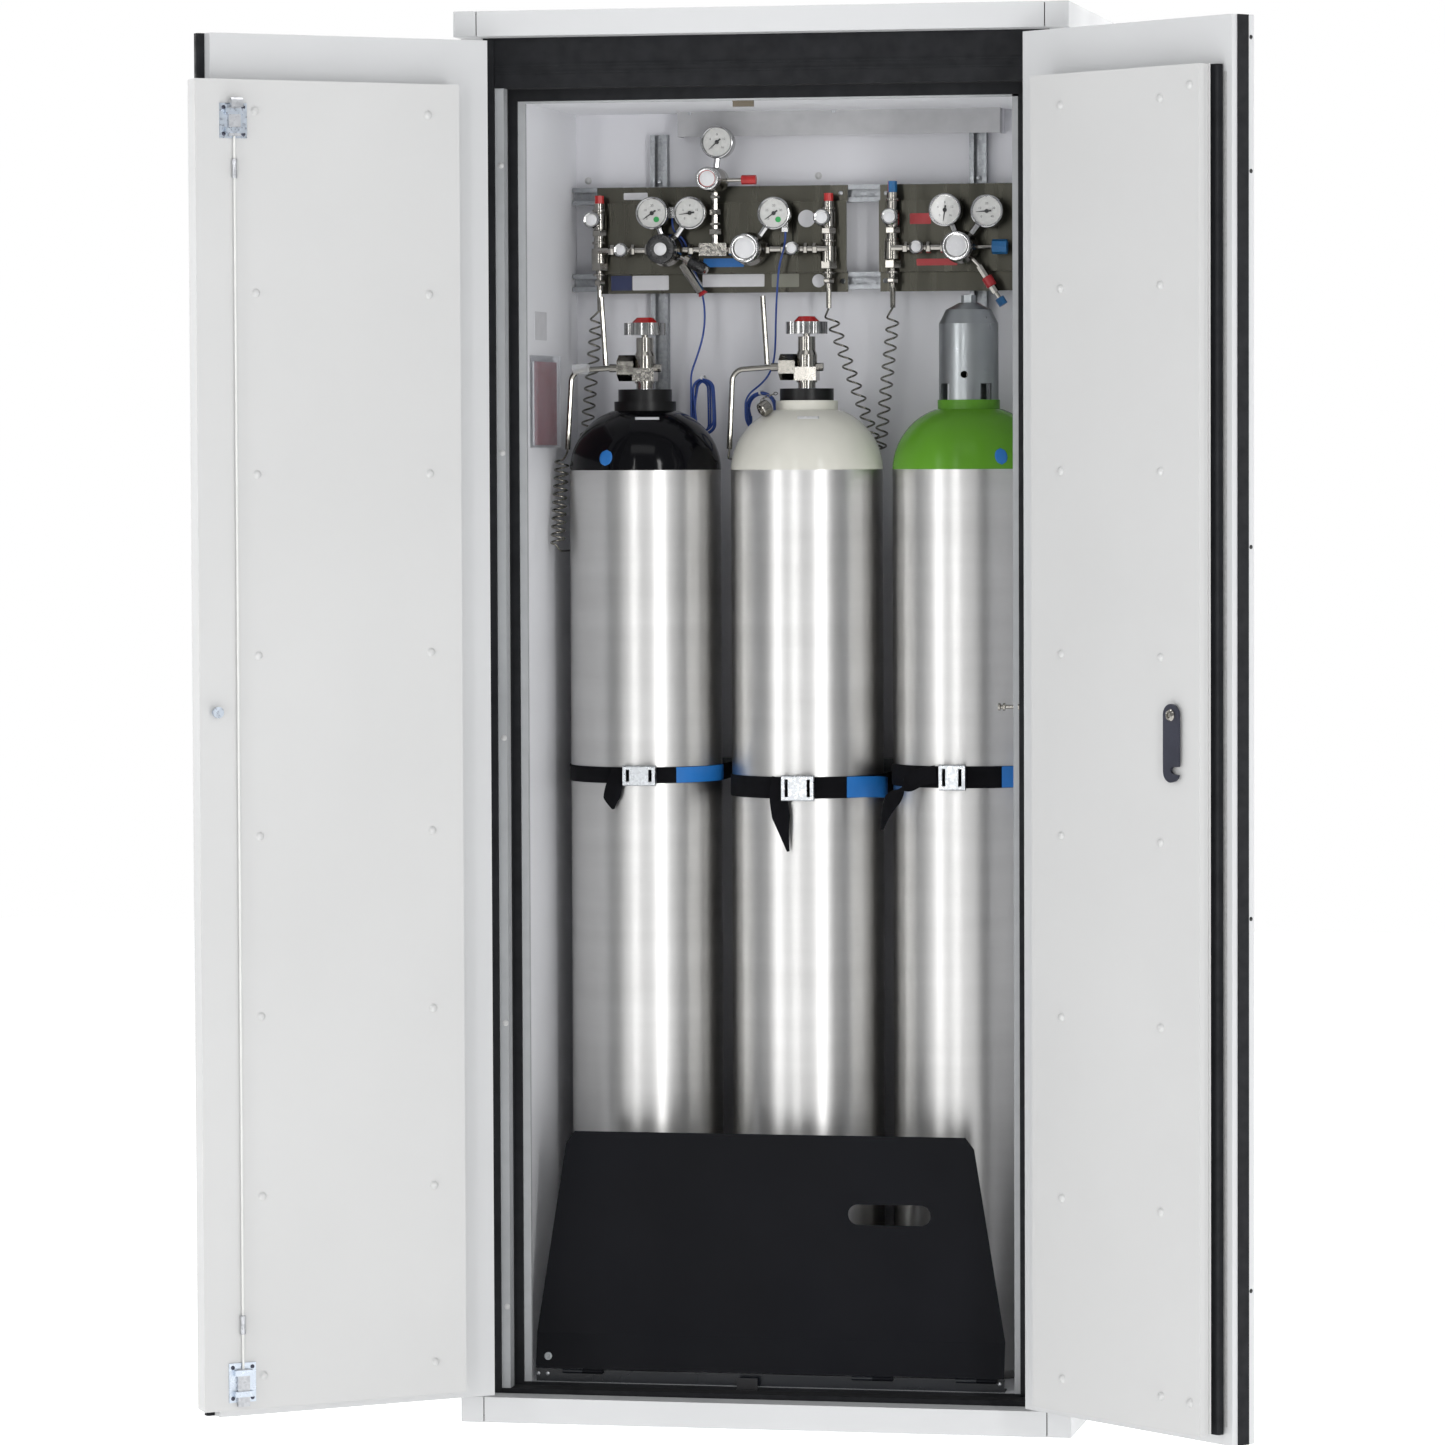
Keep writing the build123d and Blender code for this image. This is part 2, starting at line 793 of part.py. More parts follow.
def changeover_manifold():
    z = share_z(line_share)
    block_x = [share_x(share) for share in block_share]
    y = into(line_d - block_high / 2, line_d + block_high / 2)
    left, right = (share_x(share) for share in regulator_x_shares[:2])
    line_x, line_z = share_x(line_regulator_share[0]), share_z(line_regulator_share[1])
    block_top = z + block_high / 2
    out_x = line_x + line_regulator_r
    relief_start, relief_end = (at_shares(shares, relief_d) for shares in relief_shares)
    drain_start, drain_end = (at_shares(shares, relief_d) for shares in drain_shares)
    neck = toward((left, front + relief_d, z), relief_start, regulator_r + gap)
    return [
        *station_line(0, 1, column_high), *station_line(1, -1, column_high),
        block(block_x, y, (z - block_high / 2, block_top)),
        level_pipe(left + regulator_r, block_x[0]), level_pipe(block_x[1], right - regulator_r),
        bar((line_x, front + line_d, block_top), (line_x, front + line_d, line_z - line_regulator_r), riser_r),
        regulator_body(line_x, line_z, line_regulator_r, line_regulator_ahead),
        bar((out_x, front + line_d, line_z), (out_x + side_outlet, front + line_d, line_z), outlet_r),
        bar(neck, relief_start, relief_neck_r),
        bar(relief_start, relief_end, relief_r) + bar(drain_start, drain_end, drain_r),
    ]


def single_manifold():
    z = share_z(line_share)
    regulator = share_x(regulator_x_shares[2])
    y = front + line_d
    start, end, tip = (at_shares(shares, line_d) for shares in right_relief_shares)
    neck = toward((regulator, y, z), start, regulator_r + gap)
    out_x = regulator + regulator_r
    return [
        *station_line(2, 1, column_high + cap_high),
        bar((out_x, y, z), (out_x + side_outlet, y, z), outlet_r),
        bar(neck, start, relief_neck_r), bar(start, end, fitting_r), bar(end, tip, relief_neck_r),
    ]


def pressure_gauges():
    """Gauges with a recessed dial, each on a stem that points at its regulator."""
    z = share_z(line_share)
    centres = [(share_x(share), z, regulator_r) for share in regulator_x_shares]
    line_x, line_z = share_x(line_regulator_share[0]), share_z(line_regulator_share[1])
    centres.append((line_x, line_z, line_regulator_r))
    dial_r = gauge_r - gauge_bezel
    outline = [
        (0, gauge_face_d + gauge_recess), (dial_r, gauge_face_d + gauge_recess), (dial_r, gauge_face_d),
        (gauge_r, gauge_face_d), (gauge_r, gauge_face_d + gauge_deep), (0, gauge_face_d + gauge_deep),
    ]
    gauges = []
    stem_y = front + gauge_face_d + gauge_deep - gauge_stem_r - gap
    for x_share, z_share, index in gauge_shares:
        x, gauge_z = share_x(x_share), share_z(z_share)
        gauge = turned(outline, (x, front, gauge_z), (0, 1, 0))
        target_x, target_z, target_r = centres[index]
        centre, target = (x, stem_y, gauge_z), (target_x, stem_y, target_z)
        start = toward(centre, target, gauge_r - 2 * gauge_bezel)
        gauges.append(gauge + bar(start, toward(target, centre, target_r + gap), gauge_stem_r))
    for index, route in ((0, left_cable_route), (2, right_cable_route)):
        gauges[index] += contact_socket(route[0])
    return gauges


def contact_socket(point):
    """Small socket at the rim of a gauge with contacts, its lower face where the cable leaves."""
    x, d, z = point
    low, high = into(d - socket_w / 2, d + socket_w / 2)
    return block((x - socket_w / 2, x + socket_w / 2), (low, high), (z, z + socket_high))


def outlet_caps():
    z = share_z(line_share)
    y = front + line_d
    caps = []
    for share, low, high in zip(column_x_shares, (column_high, column_high, column_high + cap_high), (1, 1, 1.4)):
        x = share_x(share)
        caps.append(bar((x, front + column_d, low), (x, front + column_d, low + high * cap_high), red_cap_r))
    line_x, line_z = share_x(line_regulator_share[0]), share_z(line_regulator_share[1])
    red_x = line_x + line_regulator_r + side_outlet
    caps.append(bar((red_x, y, line_z), (red_x + blue_cap_long, y, line_z), red_cap_r))
    blue_x = share_x(regulator_x_shares[2]) + regulator_r + side_outlet
    caps.append(bar((blue_x, y, z), (blue_x + blue_cap_long, y, z), blue_cap_r))
    start, end = (at_shares(shares, line_d) for shares in right_relief_shares[1:])
    caps.append(bar(end, Vector(end) + (Vector(end) - Vector(start)).normalized() * cap_high, red_cap_r))
    return caps


def knob(x, z, face_d, long, radius, bore_r, bore_deep):
    """Round adjusting knob that faces forward, bored for its spindle."""
    back = face_d + long
    bore = bore_r + pin_fit
    outline = [
        (0, face_d), (radius, face_d), (radius, back), (bore, back), (bore, back - bore_deep), (0, back - bore_deep),
    ]
    return turned(outline, (x, front, z), (0, 1, 0))


def regulator_knobs():
    z = share_z(line_share)
    places = {
        name: (share_x(share), z, regulator_knob_r, 0)
        for name, share in zip(("left", "right", "single"), regulator_x_shares)
    }
    line_x, line_z = share_x(line_regulator_share[0]), share_z(line_regulator_share[1])
    places["line"] = (line_x, line_z, line_knob_r, line_regulator_ahead)
    knobs = {}
    for name, (x, knob_z, radius, ahead) in places.items():
        face = bonnet_d - gap - regulator_knob_long - ahead
        knobs[name] = knob(x, knob_z, face, regulator_knob_long, radius, regulator_spindle_r, regulator_spindle_long)
    return knobs


def small_knobs(shares, z, face, radius):
    return {
        name: knob(share_x(share), z, face, small_knob_long, radius, small_spindle_r, small_spindle_long)
        for name, share in zip(("left", "right", "single"), shares)
    }


# Gas cylinders


def cylinder_x(index):
    return share_x(cylinder_x_shares[index])


def gas_cylinder(index):
    """Steel bottle with a drawn foot and a domed shoulder, its neck through the rings."""
    rise = shoulder_top - shoulder_z
    run = cylinder_r - shoulder_top_r
    dome_r = (rise * rise + run * run) / (2 * run)
    midway = math.asin(rise / dome_r) / 2
    dome_x = cylinder_r - dome_r
    bulge = (dome_x + dome_r * math.cos(midway), shoulder_z + dome_r * math.sin(midway))
    foot_z = floor_z + cylinder_foot_rise
    lines = Polyline(
        (shoulder_top_r, shoulder_top), (neck_r, shoulder_top), (neck_r, neck_z), (0, neck_z), (0, floor_z),
        (cylinder_foot_r, floor_z), (cylinder_r, foot_z), (cylinder_r, shoulder_z),
    )
    dome = ThreePointArc((cylinder_r, shoulder_z), bulge, (shoulder_top_r, shoulder_top))
    bottle = revolve(make_face(Plane.XZ * (lines + dome)), Axis.Z)
    low, inner_r = floor_z + cylinder_foot_rise, cylinder_r - cylinder_wall
    cavity = [
        (0, low), (inner_r, low), (inner_r, shoulder_z), (shoulder_top_r, shoulder_top - 2 * cylinder_wall),
        (cylinder_bore_r, shoulder_top - cylinder_wall), (cylinder_bore_r, neck_z + overrun), (0, neck_z + overrun),
    ]
    return Pos(cylinder_x(index), 0, 0) * (bottle - turned(cavity, (0, 0, 0), (0, 0, 1)))


def ring(x, low, high, inner, outer):
    return turned([(inner, low), (outer, low), (outer, high), (inner, high)], (x, 0, 0), (0, 0, 1))


def neck_rings():
    rings = []
    bore = neck_r + gap
    low_top = shoulder_top + ring_low_high
    for index in range(3):
        rings.append(ring(cylinder_x(index), shoulder_top, low_top, bore, ring_low_r))
    for index in range(2):
        rings.append(ring(cylinder_x(index), low_top, low_top + ring_up_high, bore, ring_up_r))
    return rings


def valve_guard():
    """Domed cap over the third cylinder's valve, with a hole, vent slots and its nut."""
    x = cylinder_x(2)
    low = shoulder_top + ring_low_high
    dome_z = guard_top - guard_dome
    inner_r = guard_r - guard_wall
    outline = [
        (guard_r, low), (guard_r, dome_z), (guard_r - guard_dome / 3, guard_top - guard_dome / 3),
        (guard_crown_r, guard_top), (0, guard_top), (0, guard_top - guard_wall),
        (guard_crown_r - guard_wall, guard_top - guard_wall), (inner_r, dome_z), (inner_r, low),
    ]
    guard = turned(outline, (x, 0, 0), (0, 0, 1))
    guard -= rod((x, 0, guard_hole_z), (x, -guard_r - overrun, guard_hole_z), guard_hole_r)
    slot_w = guard_slot_w / 2
    reach = guard_r + overrun
    for angle in (45, 135):
        slot = block((-slot_w, slot_w), (-reach, reach), (low - overrun, low + guard_slot_high))
        guard -= Pos(x, 0, 0) * (Rot(0, 0, angle) * slot)
    nut = hexagon((x, 0, guard_top), (x, 0, guard_top + guard_nut_high), guard_nut_r)
    return [guard, nut]


def cylinder_valves():
    low, high = valve_body_z
    outline = [
        (0, neck_z), (valve_low_r, neck_z), (valve_low_r, low), (valve_body_r, low), (valve_body_r, high),
        (valve_gland_r, high + valve_gland_r / 2), (valve_gland_r, valve_gland_top),
        (spindle_r, valve_gland_top), (spindle_r, stem_top), (0, stem_top),
    ]
    valves = []
    for index in range(3):
        x = cylinder_x(index)
        valve = turned(outline, (x, 0, 0), (0, 0, 1))
        side = valve_block / 2
        if index < 2:
            block_z = (outlet_z - valve_block_high, outlet_z)
            valve += block((x - side, x + side), (-side, side), block_z)
            valve += bar((x, 0, outlet_z), (x + valve_plug_reach, 0, outlet_z), valve_plug_r)
            valve -= hexagon((x - valve_nut[1], 0, outlet_z), (x - valve_nut[0], 0, outlet_z), valve_nut_r)
        valves.append(valve)
    return valves


def handwheel(index):
    """Lobed wheel with a domed cap, bored for the valve's spindle."""
    x = cylinder_x(index)
    plan = Circle(wheel_r)
    for step in range(wheel_lobes):
        plan -= Rot(0, 0, step * 360 / wheel_lobes) * Pos(wheel_r + wheel_scallop_r / 2, 0) * Circle(wheel_scallop_r)
    wheel = Pos(x, 0, wheel_low) * extrude(plan, wheel_high)
    top = wheel_low + wheel_high
    cap = [(0, top), (wheel_cap_r, top), (wheel_cap_r - wheel_cap_high, top + wheel_cap_high), (0, top + wheel_cap_high)]
    wheel += turned(cap, (x, 0, 0), (0, 0, 1))
    wheel -= rod((x, 0, wheel_low - overrun), (x, 0, stem_top + gap), spindle_r + pin_fit)
    return wheel


# Pigtails and coils


def vertex_radii(points):
    """Largest arc at each corner that leaves a tenth of the shorter run straight."""
    radii = []
    for a, b, c in zip(points, points[1:], points[2:]):
        into_corner, out = Vector(b) - Vector(a), Vector(c) - Vector(b)
        turn = math.radians(into_corner.get_angle(out))
        radii.append(0.45 * min(into_corner.length, out.length) / math.tan(turn / 2))
    return radii


def tube_along(path, section):
    """Sweeps a section, drawn about its own centre, along a path."""
    start = Plane(origin=path @ 0, z_dir=path % 0)
    return sweep(start * section, path=path, clean=False)


def tube_points(index):
    """Corners of the bent tube from a valve's fitting to its lower end."""
    x = cylinder_x(index)
    bend_reach, low_reach = tube_reaches[index]
    return [
        Vector(x - valve_nut[1] - fitting_long, 0, outlet_z),
        Vector(x + bend_reach, 0, outlet_z - tube_top_drop), Vector(x + low_reach, 0, tube_low_z),
    ]


def cylinder_pigtails():
    """Nut, fitting, bent tube and closed stand pipe at each open valve, and the leads below the columns."""
    pieces = []
    nut_in, nut_out = valve_nut
    for index in range(2):
        x = cylinder_x(index)
        points = tube_points(index)
        nut_face = (x - nut_out, 0, outlet_z)
        pieces.append(hexagon(nut_face, (x - nut_in, 0, outlet_z), valve_nut_r))
        pieces.append(bar(points[0], nut_face, fitting_r))
        path = FilletPolyline(*points, radius=tube_bend)
        pieces.append(tube_along(path, RegularPolygon(tube_r, bar_sides)))
        stand_x = points[0].X - fitting_r
        foot = (stand_x, 0, outlet_z + tube_r + gap)
        pieces.append(bar(foot, (stand_x - stand_lean, 0, outlet_z + stand_high), tube_r))
    for share in column_x_shares:
        x, y = share_x(share), front + column_d
        pieces.append(bar((x, y, lead_low_z), (x, y, column_low), tube_r))
    nut_top = stowed_end()
    pieces.append(hexagon(nut_top + DOWN * stowed_nut_high, nut_top, stowed_nut_r))
    return pieces


def biarc(start, start_way, end, end_way):
    """Two arcs that leave the start and reach the end in the directions given."""
    v, t1, t2 = end - start, start_way.normalized(), end_way.normalized()
    t = t1 + t2
    a = 2 * (1 - t1.dot(t2))
    b = v.dot(t)
    if a < 1e-9:
        reach = v.dot(v) / (4 * v.dot(t1))
    else:
        reach = (math.sqrt(b * b + a * v.dot(v)) - b) / a
    corner1, corner2 = start + t1 * reach, end - t2 * reach
    joint = (corner1 + corner2) / 2
    return [Edge.make_tangent_arc(start, t1, joint), Edge.make_tangent_arc(joint, corner2 - corner1, end)]


def join(stops):
    """Edges through (point, direction) stops, straight where the next stop lies dead ahead."""
    edges = []
    for (a, way_a), (b, way_b) in zip(stops, stops[1:]):
        line = (b - a).normalized()
        straight = line.dot(way_a.normalized()) > 1 - 1e-9 and line.dot(way_b.normalized()) > 1 - 1e-9
        edges += [Edge.make_line(a, b)] if straight else biarc(a, way_a, b, way_b)
    return edges


def helix_stops(axis, radius, halves, start_degrees):
    """Stops at every half turn of a helix whose middle runs between two (X, depth, Z) places."""
    first, last = (place(*point) for point in axis)
    advance = (last - first) / halves
    stops = []
    for step in range(halves + 1):
        angle = math.pi * step + math.radians(start_degrees)
        spoke = Vector(math.cos(angle), math.sin(angle), 0)
        rim_way = Vector(-math.sin(angle), math.cos(angle), 0)
        stops.append((first + advance * step + spoke * radius, rim_way * math.pi * radius + advance))
    return stops


def self_gap(path, size, steps=1200):
    """Least clear distance between stretches of a tube that lie further apart along it than a half turn."""
    points = [path @ (k / steps) for k in range(steps + 1)]
    step_long = path.length / steps
    skip = int(3 * size / step_long) + 1
    least = math.inf
    for i, p in enumerate(points):
        for q in points[i + skip::2]:
            least = min(least, (p - q).length)
    return least - size


def wire_coil(name, stops):
    path = Wire(join(stops))
    print(name, "wire length", round(path.length, 1), "least gap to itself", round(self_gap(path, wire), 2))
    return tube_along(path, RegularPolygon(wire / 2, 3))


def column_lead(index):
    """Stops where a coil's wire leaves the thick lead under a column."""
    x = share_x(column_x_shares[index])
    top = place(x, column_d, lead_low_z)
    return [(top, DOWN), (top + DOWN * wire_end, DOWN)]


def tube_lead(index):
    """Stops where a coil's wire leaves the lower end of a valve's tube."""
    bend_point, end = tube_points(index)[1:]
    way = (end - bend_point).normalized()
    return [(end, way), (end + way * wire_end, way)]


def backward(stops):
    return [(point, -way) for point, way in reversed(stops)]


def left_coil():
    """Down the front coil, back beside the cylinder, and up the rear coil to the left column."""
    front_helix = helix_stops(front_coil_axis, front_coil_r, front_coil_halves, 90)
    back_helix = helix_stops(back_coil_axis, coil_r, back_coil_halves, 180)
    x, d, z = back_coil_axis[1]
    rise_x, rise_d = x - coil_r, d - coil_r
    low_d, low_z = front_coil_axis[1][1:]
    low_z -= front_coil_r
    back = Vector(0, 1, 0)
    under = [
        (place(return_x, low_d, low_z), back), (place(return_x, rise_d - front_coil_r, low_z), back),
        (place(rise_x, rise_d, low_z + front_coil_r), -DOWN), (place(rise_x, rise_d, z - coil_r), -DOWN),
    ]
    return [*tube_lead(0), *front_helix, *under, *backward(back_helix), *backward(column_lead(0))]


def middle_coil():
    """From the middle column down its coil, then behind the middle cylinder to the tube on its left."""
    leave = tube_lead(1)
    round_r = cylinder_r + round_gap
    turn_in = 1.2 * coil_r
    low_z = leave[1][0].Z - turn_in
    angle = math.asin(turn_in / round_r)
    beside = Vector(cylinder_x(1) - round_r * math.cos(angle), turn_in, low_z)
    behind = [
        (Vector(cylinder_x(1), round_r, low_z), Vector(-1, 0, 0)),
        (beside, Vector(-math.sin(angle), -math.cos(angle), 0)), *backward(leave),
    ]
    return [*column_lead(1), *helix_stops(middle_coil_axis, coil_r, middle_coil_halves, 180), *behind]


def stowed_end():
    """Top of the nut that closes the third, unused pigtail."""
    x, d, z = right_coil_axis[1]
    return place(x - coil_r, d - coil_r, z - coil_r - 2 * wire_end)


def right_coil():
    end = stowed_end()
    helix = helix_stops(right_coil_axis, coil_r, right_coil_halves, 180)
    return [*column_lead(2), *helix, (end - DOWN * wire_end, DOWN), (end, DOWN)]


def pigtail_coils():
    """The long springy wires between the station and the cylinders."""
    coils = (("left", left_coil()), ("middle", middle_coil()), ("right", right_coil()))
    return [wire_coil(name, stops) for name, stops in coils]


# Signal cables


def cable_path(name, route):
    points = [place(*point) for point in route]
    radii = vertex_radii(points)
    path = FilletPolyline(*points, radius=radii)
    print(name, "radii", [round(r, 1) for r in radii], "length", round(path.length, 1))
    return path


def signal_cables():
    cables = []
    for name, route in (("left cable", left_cable_route), ("right cable", right_cable_route)):
        path = cable_path(name, route)
        section = RegularPolygon(cable / 2, 6)
        tube = tube_along(path, section)
        print(name, "volume", round(tube.volume, 1), "section by length", round(section.area * path.length, 1))
        cables.append(tube)
    return cables


def wound(name, route, half_w, low, high, loops):
    """One unbroken cable wound in loops side by side, from the end of its free stretch."""
    x, d, z = route[-1]
    left, right = x, x + 2 * half_w
    up = -DOWN
    shift = cable_pitch / 2
    stops = [(place(left, d, z), DOWN), (place(left, d, low), DOWN)]
    for _ in range(loops):
        d += shift
        stops += [(place(right, d, low), up), (place(right, d, high), up)]
        d += shift
        stops += [(place(left, d, high), DOWN), (place(left, d, low), DOWN)]
    path = Wire(join(stops))
    print(name, "length", round(path.length, 1), "least gap to itself", round(self_gap(path, cable), 2))
    return tube_along(path, RegularPolygon(cable / 2, 4))


# Straps, pocket and ramp


def strap_z(index):
    return [share_z(share) for share in strap_shares[index]]


def straps():
    """Belts from the lower channel round each cylinder, and the loose tails beside two buckles."""
    belts = []
    rail_y = front + board_d - 2 * rail_d
    for index in range(3):
        x = cylinder_x(index)
        plans = []
        for radius, end in ((cylinder_r + gap + strap_thick, rail_y), (cylinder_r + gap, rail_y + overrun)):
            plans.append(Pos(x, 0) * Circle(radius) + rect((x - radius, x + radius), (0, end)))
        low, high = strap_z(index)
        belt = Pos(0, 0, low) * extrude(plans[0] - plans[1], high - low)
        belts.append(belt)
    face = buckle_face()
    tail_y = (face - strap_thick, face)
    for index, drop in enumerate(tail_drops):
        low = strap_z(index)[0]
        x = cylinder_x(index) + buckle_offsets[index][0]
        edge = low - buckle_over - gap
        if index == 0:
            belts.append(block((x - gap - tail_w, x - gap), tail_y, (low - drop, low)))
        else:
            belts.append(block((x, x + tail_w), tail_y, (edge - drop, edge)))
    return belts


def buckle_face():
    """Y of the plane on which the buckles lie, just ahead of the belts."""
    return -(cylinder_r + 2 * gap + strap_thick)


def strap_buckles():
    """Cam buckles: a rounded frame with a lever and two slots for the belt."""
    buckles = []
    face = buckle_face()
    for index, (left, right) in enumerate(buckle_offsets):
        x = cylinder_x(index)
        low, high = strap_z(index)
        low -= buckle_over
        high += buckle_over
        body = block((x + left, x + right), (face - buckle_thick, face), (low, high))
        body = fillet(body.edges().filter_by(Axis.X), buckle_round)
        slot_z = (low + 2 * buckle_over, high - 2 * buckle_over)
        for side in (x + left + buckle_slot, x + right - 2 * buckle_slot):
            slot_y = (face - buckle_thick - overrun, face + overrun)
            body -= block((side, side + buckle_slot), slot_y, slot_z)
        buckles.append(body)
    return buckles


def document_pocket():
    """Open-topped tray on the left wall."""
    y = into(*pocket_depths)
    low, high = pocket_z
    tray = block((-liner_half, -liner_half + pocket_out), y, pocket_z)
    inner_x = (-liner_half + pocket_wall, -liner_half + pocket_out - pocket_wall)
    tray -= block(inner_x, (y[0] + pocket_wall, y[1] - pocket_wall), (low + pocket_wall, high + overrun))
    return [tray]


def ramp_section(start):
    """Ramp as (Y, Z), leaning from its hinge and then upright, from a distance off the hinge's axis."""
    lean = math.radians(ramp_lean)
    way, side = (math.sin(lean), math.cos(lean)), (-math.cos(lean), math.sin(lean))
    y, z = front + ramp_axis_d, ramp_axis_z
    t = ramp_sheet / 2
    mitre = t * math.tan(lean / 2)
    knee_y, knee_z = y + ramp_foot_long * way[0], z + ramp_foot_long * way[1]
    foot_y, foot_z = y + start * way[0], z + start * way[1]
    return make_face(Polyline(
        (foot_y + t * side[0], foot_z + t * side[1]), (knee_y - t, knee_z + mitre), (knee_y - t, ramp_top),
        (knee_y + t, ramp_top), (knee_y + t, knee_z - mitre), (foot_y - t * side[0], foot_z - t * side[1]),
        close=True,
    ))


def ramp_knuckles(start, end):
    """X range of the ramp's knuckle at each of its hinges, between two distances from the hinge's middle."""
    middles = [ramp_centre + share * ramp_half for share in ramp_hinge_shares]
    return [(middle + start, middle + end) for middle in middles]


def ramp_plate():
    y, z = front + ramp_axis_d, ramp_axis_z
    bend_z = z + ramp_foot_long
    c = ramp_centre
    outline = Plane.XZ * make_face(Polyline(
        (c - ramp_half, z - overrun), (c + ramp_half, z - overrun), (c + ramp_half, bend_z),
        (c + ramp_shoulder_half, ramp_top - ramp_chamfer), (c + ramp_top_half, ramp_top),
        (c - ramp_top_half, ramp_top), (c - ramp_shoulder_half, ramp_top - ramp_chamfer), (c - ramp_half, bend_z),
        close=True,
    ))
    plate = along_x(ramp_section(ramp_start), (c - ramp_half, c + ramp_half))
    plate &= extrude(outline, depth / 2, both=True)
    grip = Plane.XZ * Pos(grip_x, grip_z) * SlotOverall(grip_w, grip_high)
    plate -= extrude(grip, depth / 2, both=True)
    near = block((-half, half), (front, rear), (z - ramp_start, z + ramp_start + ramp_sheet))
    for x in ramp_knuckles(ramp_knuckle_half + gap, ramp_hinge_half):
        plate += along_x(ramp_section(0), x) & near
        plate += rod((x[0], y, z), (x[1], y, z), ramp_barrel_r)
    return plate - rod((-half, y, z), (half, y, z), ramp_pin_r + pin_fit)


def ramp_base():
    """Angle on the cabinet's floor with the fixed knuckles and pins of the ramp's hinges."""
    x = (ramp_centre - ramp_half, ramp_centre + ramp_half)
    y, z = front + ramp_axis_d, ramp_axis_z
    upright = front + base_d
    base = block(x, (upright, upright + base_sheet), (floor_z, base_top))
    base += block(x, (upright, upright + base_foot), (floor_z, floor_z + base_sheet))
    for reach in ramp_knuckles(-ramp_knuckle_half, ramp_knuckle_half):
        base += rod((reach[0], y, z), (reach[1], y, z), ramp_barrel_r)
        base += block(reach, (y, upright), (z - ramp_barrel_r, z - ramp_barrel_r + base_sheet))
    for reach in ramp_knuckles(0, ramp_hinge_half):
        base += rod((reach[0], y, z), (reach[1], y, z), ramp_pin_r)
    return [base]


# Doors, modelled closed and swung to the pose in which they stand


def pivot(side):
    return (side * (half - pivot_in), front - pivot_ahead, 0)


def swung(side, shapes):
    """Door pieces turned from closed to the open pose about their hinge line."""
    angle = left_open if side < 0 else right_open
    axis = Axis(pivot(side), (0, 0, 1))
    return [shape.rotate(axis, side * angle) for shape in shapes]


def leaf_shell(side, end):
    """Outer layer of a leaf: a closed steel tray with softened edges, open behind the inner layer."""
    hinge_edge = side * (half - leaf_edge)
    shell = block((hinge_edge, end), into(0, leaf_d), (leaf_low, leaf_high))
    rim = shell.faces().sort_by(Axis.Y)[0].edges()
    shell = fillet(rim, leaf_bend)
    shell -= leaf_core(side, end)
    window_x = (side * (panel_edge_half - window_in), side * window_in + end)
    window_z = (panel_low + window_in, panel_high - window_in)
    return shell - block(window_x, into(leaf_d / 2, leaf_d + overrun), window_z)


def leaf_core(side, end):
    """Infill board of a leaf's outer layer."""
    x = (side * (half - leaf_edge - leaf_bend), end + side * leaf_bend)
    return block(x, into(leaf_bend, leaf_d - sheet), (leaf_low + leaf_bend, leaf_high - leaf_bend))


def spindle_bore():
    y = into(-overrun, panel_d + overrun)
    return rod((lock_x, y[0], lock_z), (lock_x, y[1], lock_z), spindle_r + pin_fit)


def upright(outline, low, high):
    """Upright solid from its plan, given as (X, depth) points."""
    plan = make_face(Polyline(*[(x, front + d) for x, d in outline], close=True))
    return Pos(0, 0, low) * extrude(plan, high - low)


def left_infill(start_d):
    """Infill of the left inner layer, from a depth to its face sheet."""
    step_d = leaf_d + meeting_gap + sheet
    slope_in = 2 * sheet
    edge, inner_end = panel_edge_half - sheet, left_leaf_end - slope_in
    plan = [
        (-edge, start_d), (inner_end, start_d), (inner_end, step_d), (left_panel_root - slope_in, step_d),
        (left_panel_end - slope_in, panel_d - sheet), (-edge, panel_d - sheet),
    ]
    return upright(plan, panel_low + sheet, panel_high - sheet)


def left_panel():
    """Inner layer with a sloped meeting edge that reaches past the outer layer."""
    step_d = leaf_d + meeting_gap
    plan = [
        (-panel_edge_half, leaf_d), (left_leaf_end, leaf_d), (left_leaf_end, step_d), (left_panel_root, step_d),
        (left_panel_end, panel_d), (-panel_edge_half, panel_d),
    ]
    return upright(plan, panel_low, panel_high) - left_infill(leaf_d - overrun)


def right_infill(start_d):
    x = (right_panel_end + seal_pocket + sheet, panel_edge_half - sheet)
    return block(x, into(start_d, panel_d - sheet), (panel_low + sheet, panel_high - sheet))


def right_panel():
    """Inner layer whose end shows a tray, a core board and a lining, over a pocket for the bulb seal."""
    core_x = right_panel_end + core_set_back
    tray_d = panel_d - tray_edge
    core_d = tray_d - core_edge
    lining_d = core_d - lining_edge
    pocket_x = right_panel_end + seal_pocket
    plan = [
        (panel_edge_half, leaf_d), (pocket_x, leaf_d), (pocket_x, lining_d), (right_panel_end, lining_d),
        (right_panel_end, core_d), (core_x, core_d), (core_x, tray_d), (right_panel_end, tray_d),
        (right_panel_end, panel_d), (panel_edge_half, panel_d),
    ]
    return upright(plan, panel_low, panel_high) - right_infill(leaf_d - overrun)


def bulb(x, d, z, outer):
    """Seal strip with its free edges rounded."""
    strip = block(x, into(*d), z)
    edges = strip.edges().filter_by(Axis.Z).sort_by(Axis.X)
    edges = edges[:2] if outer < 0 else edges[-2:]
    return fillet(edges, bulb_round)


def left_seals():
    x = (left_leaf_end, left_leaf_end + bulb_proud)
    return [bulb(x, (bulb_in_d, bulb_in_d + bulb_w), (leaf_low, leaf_high), 1)]


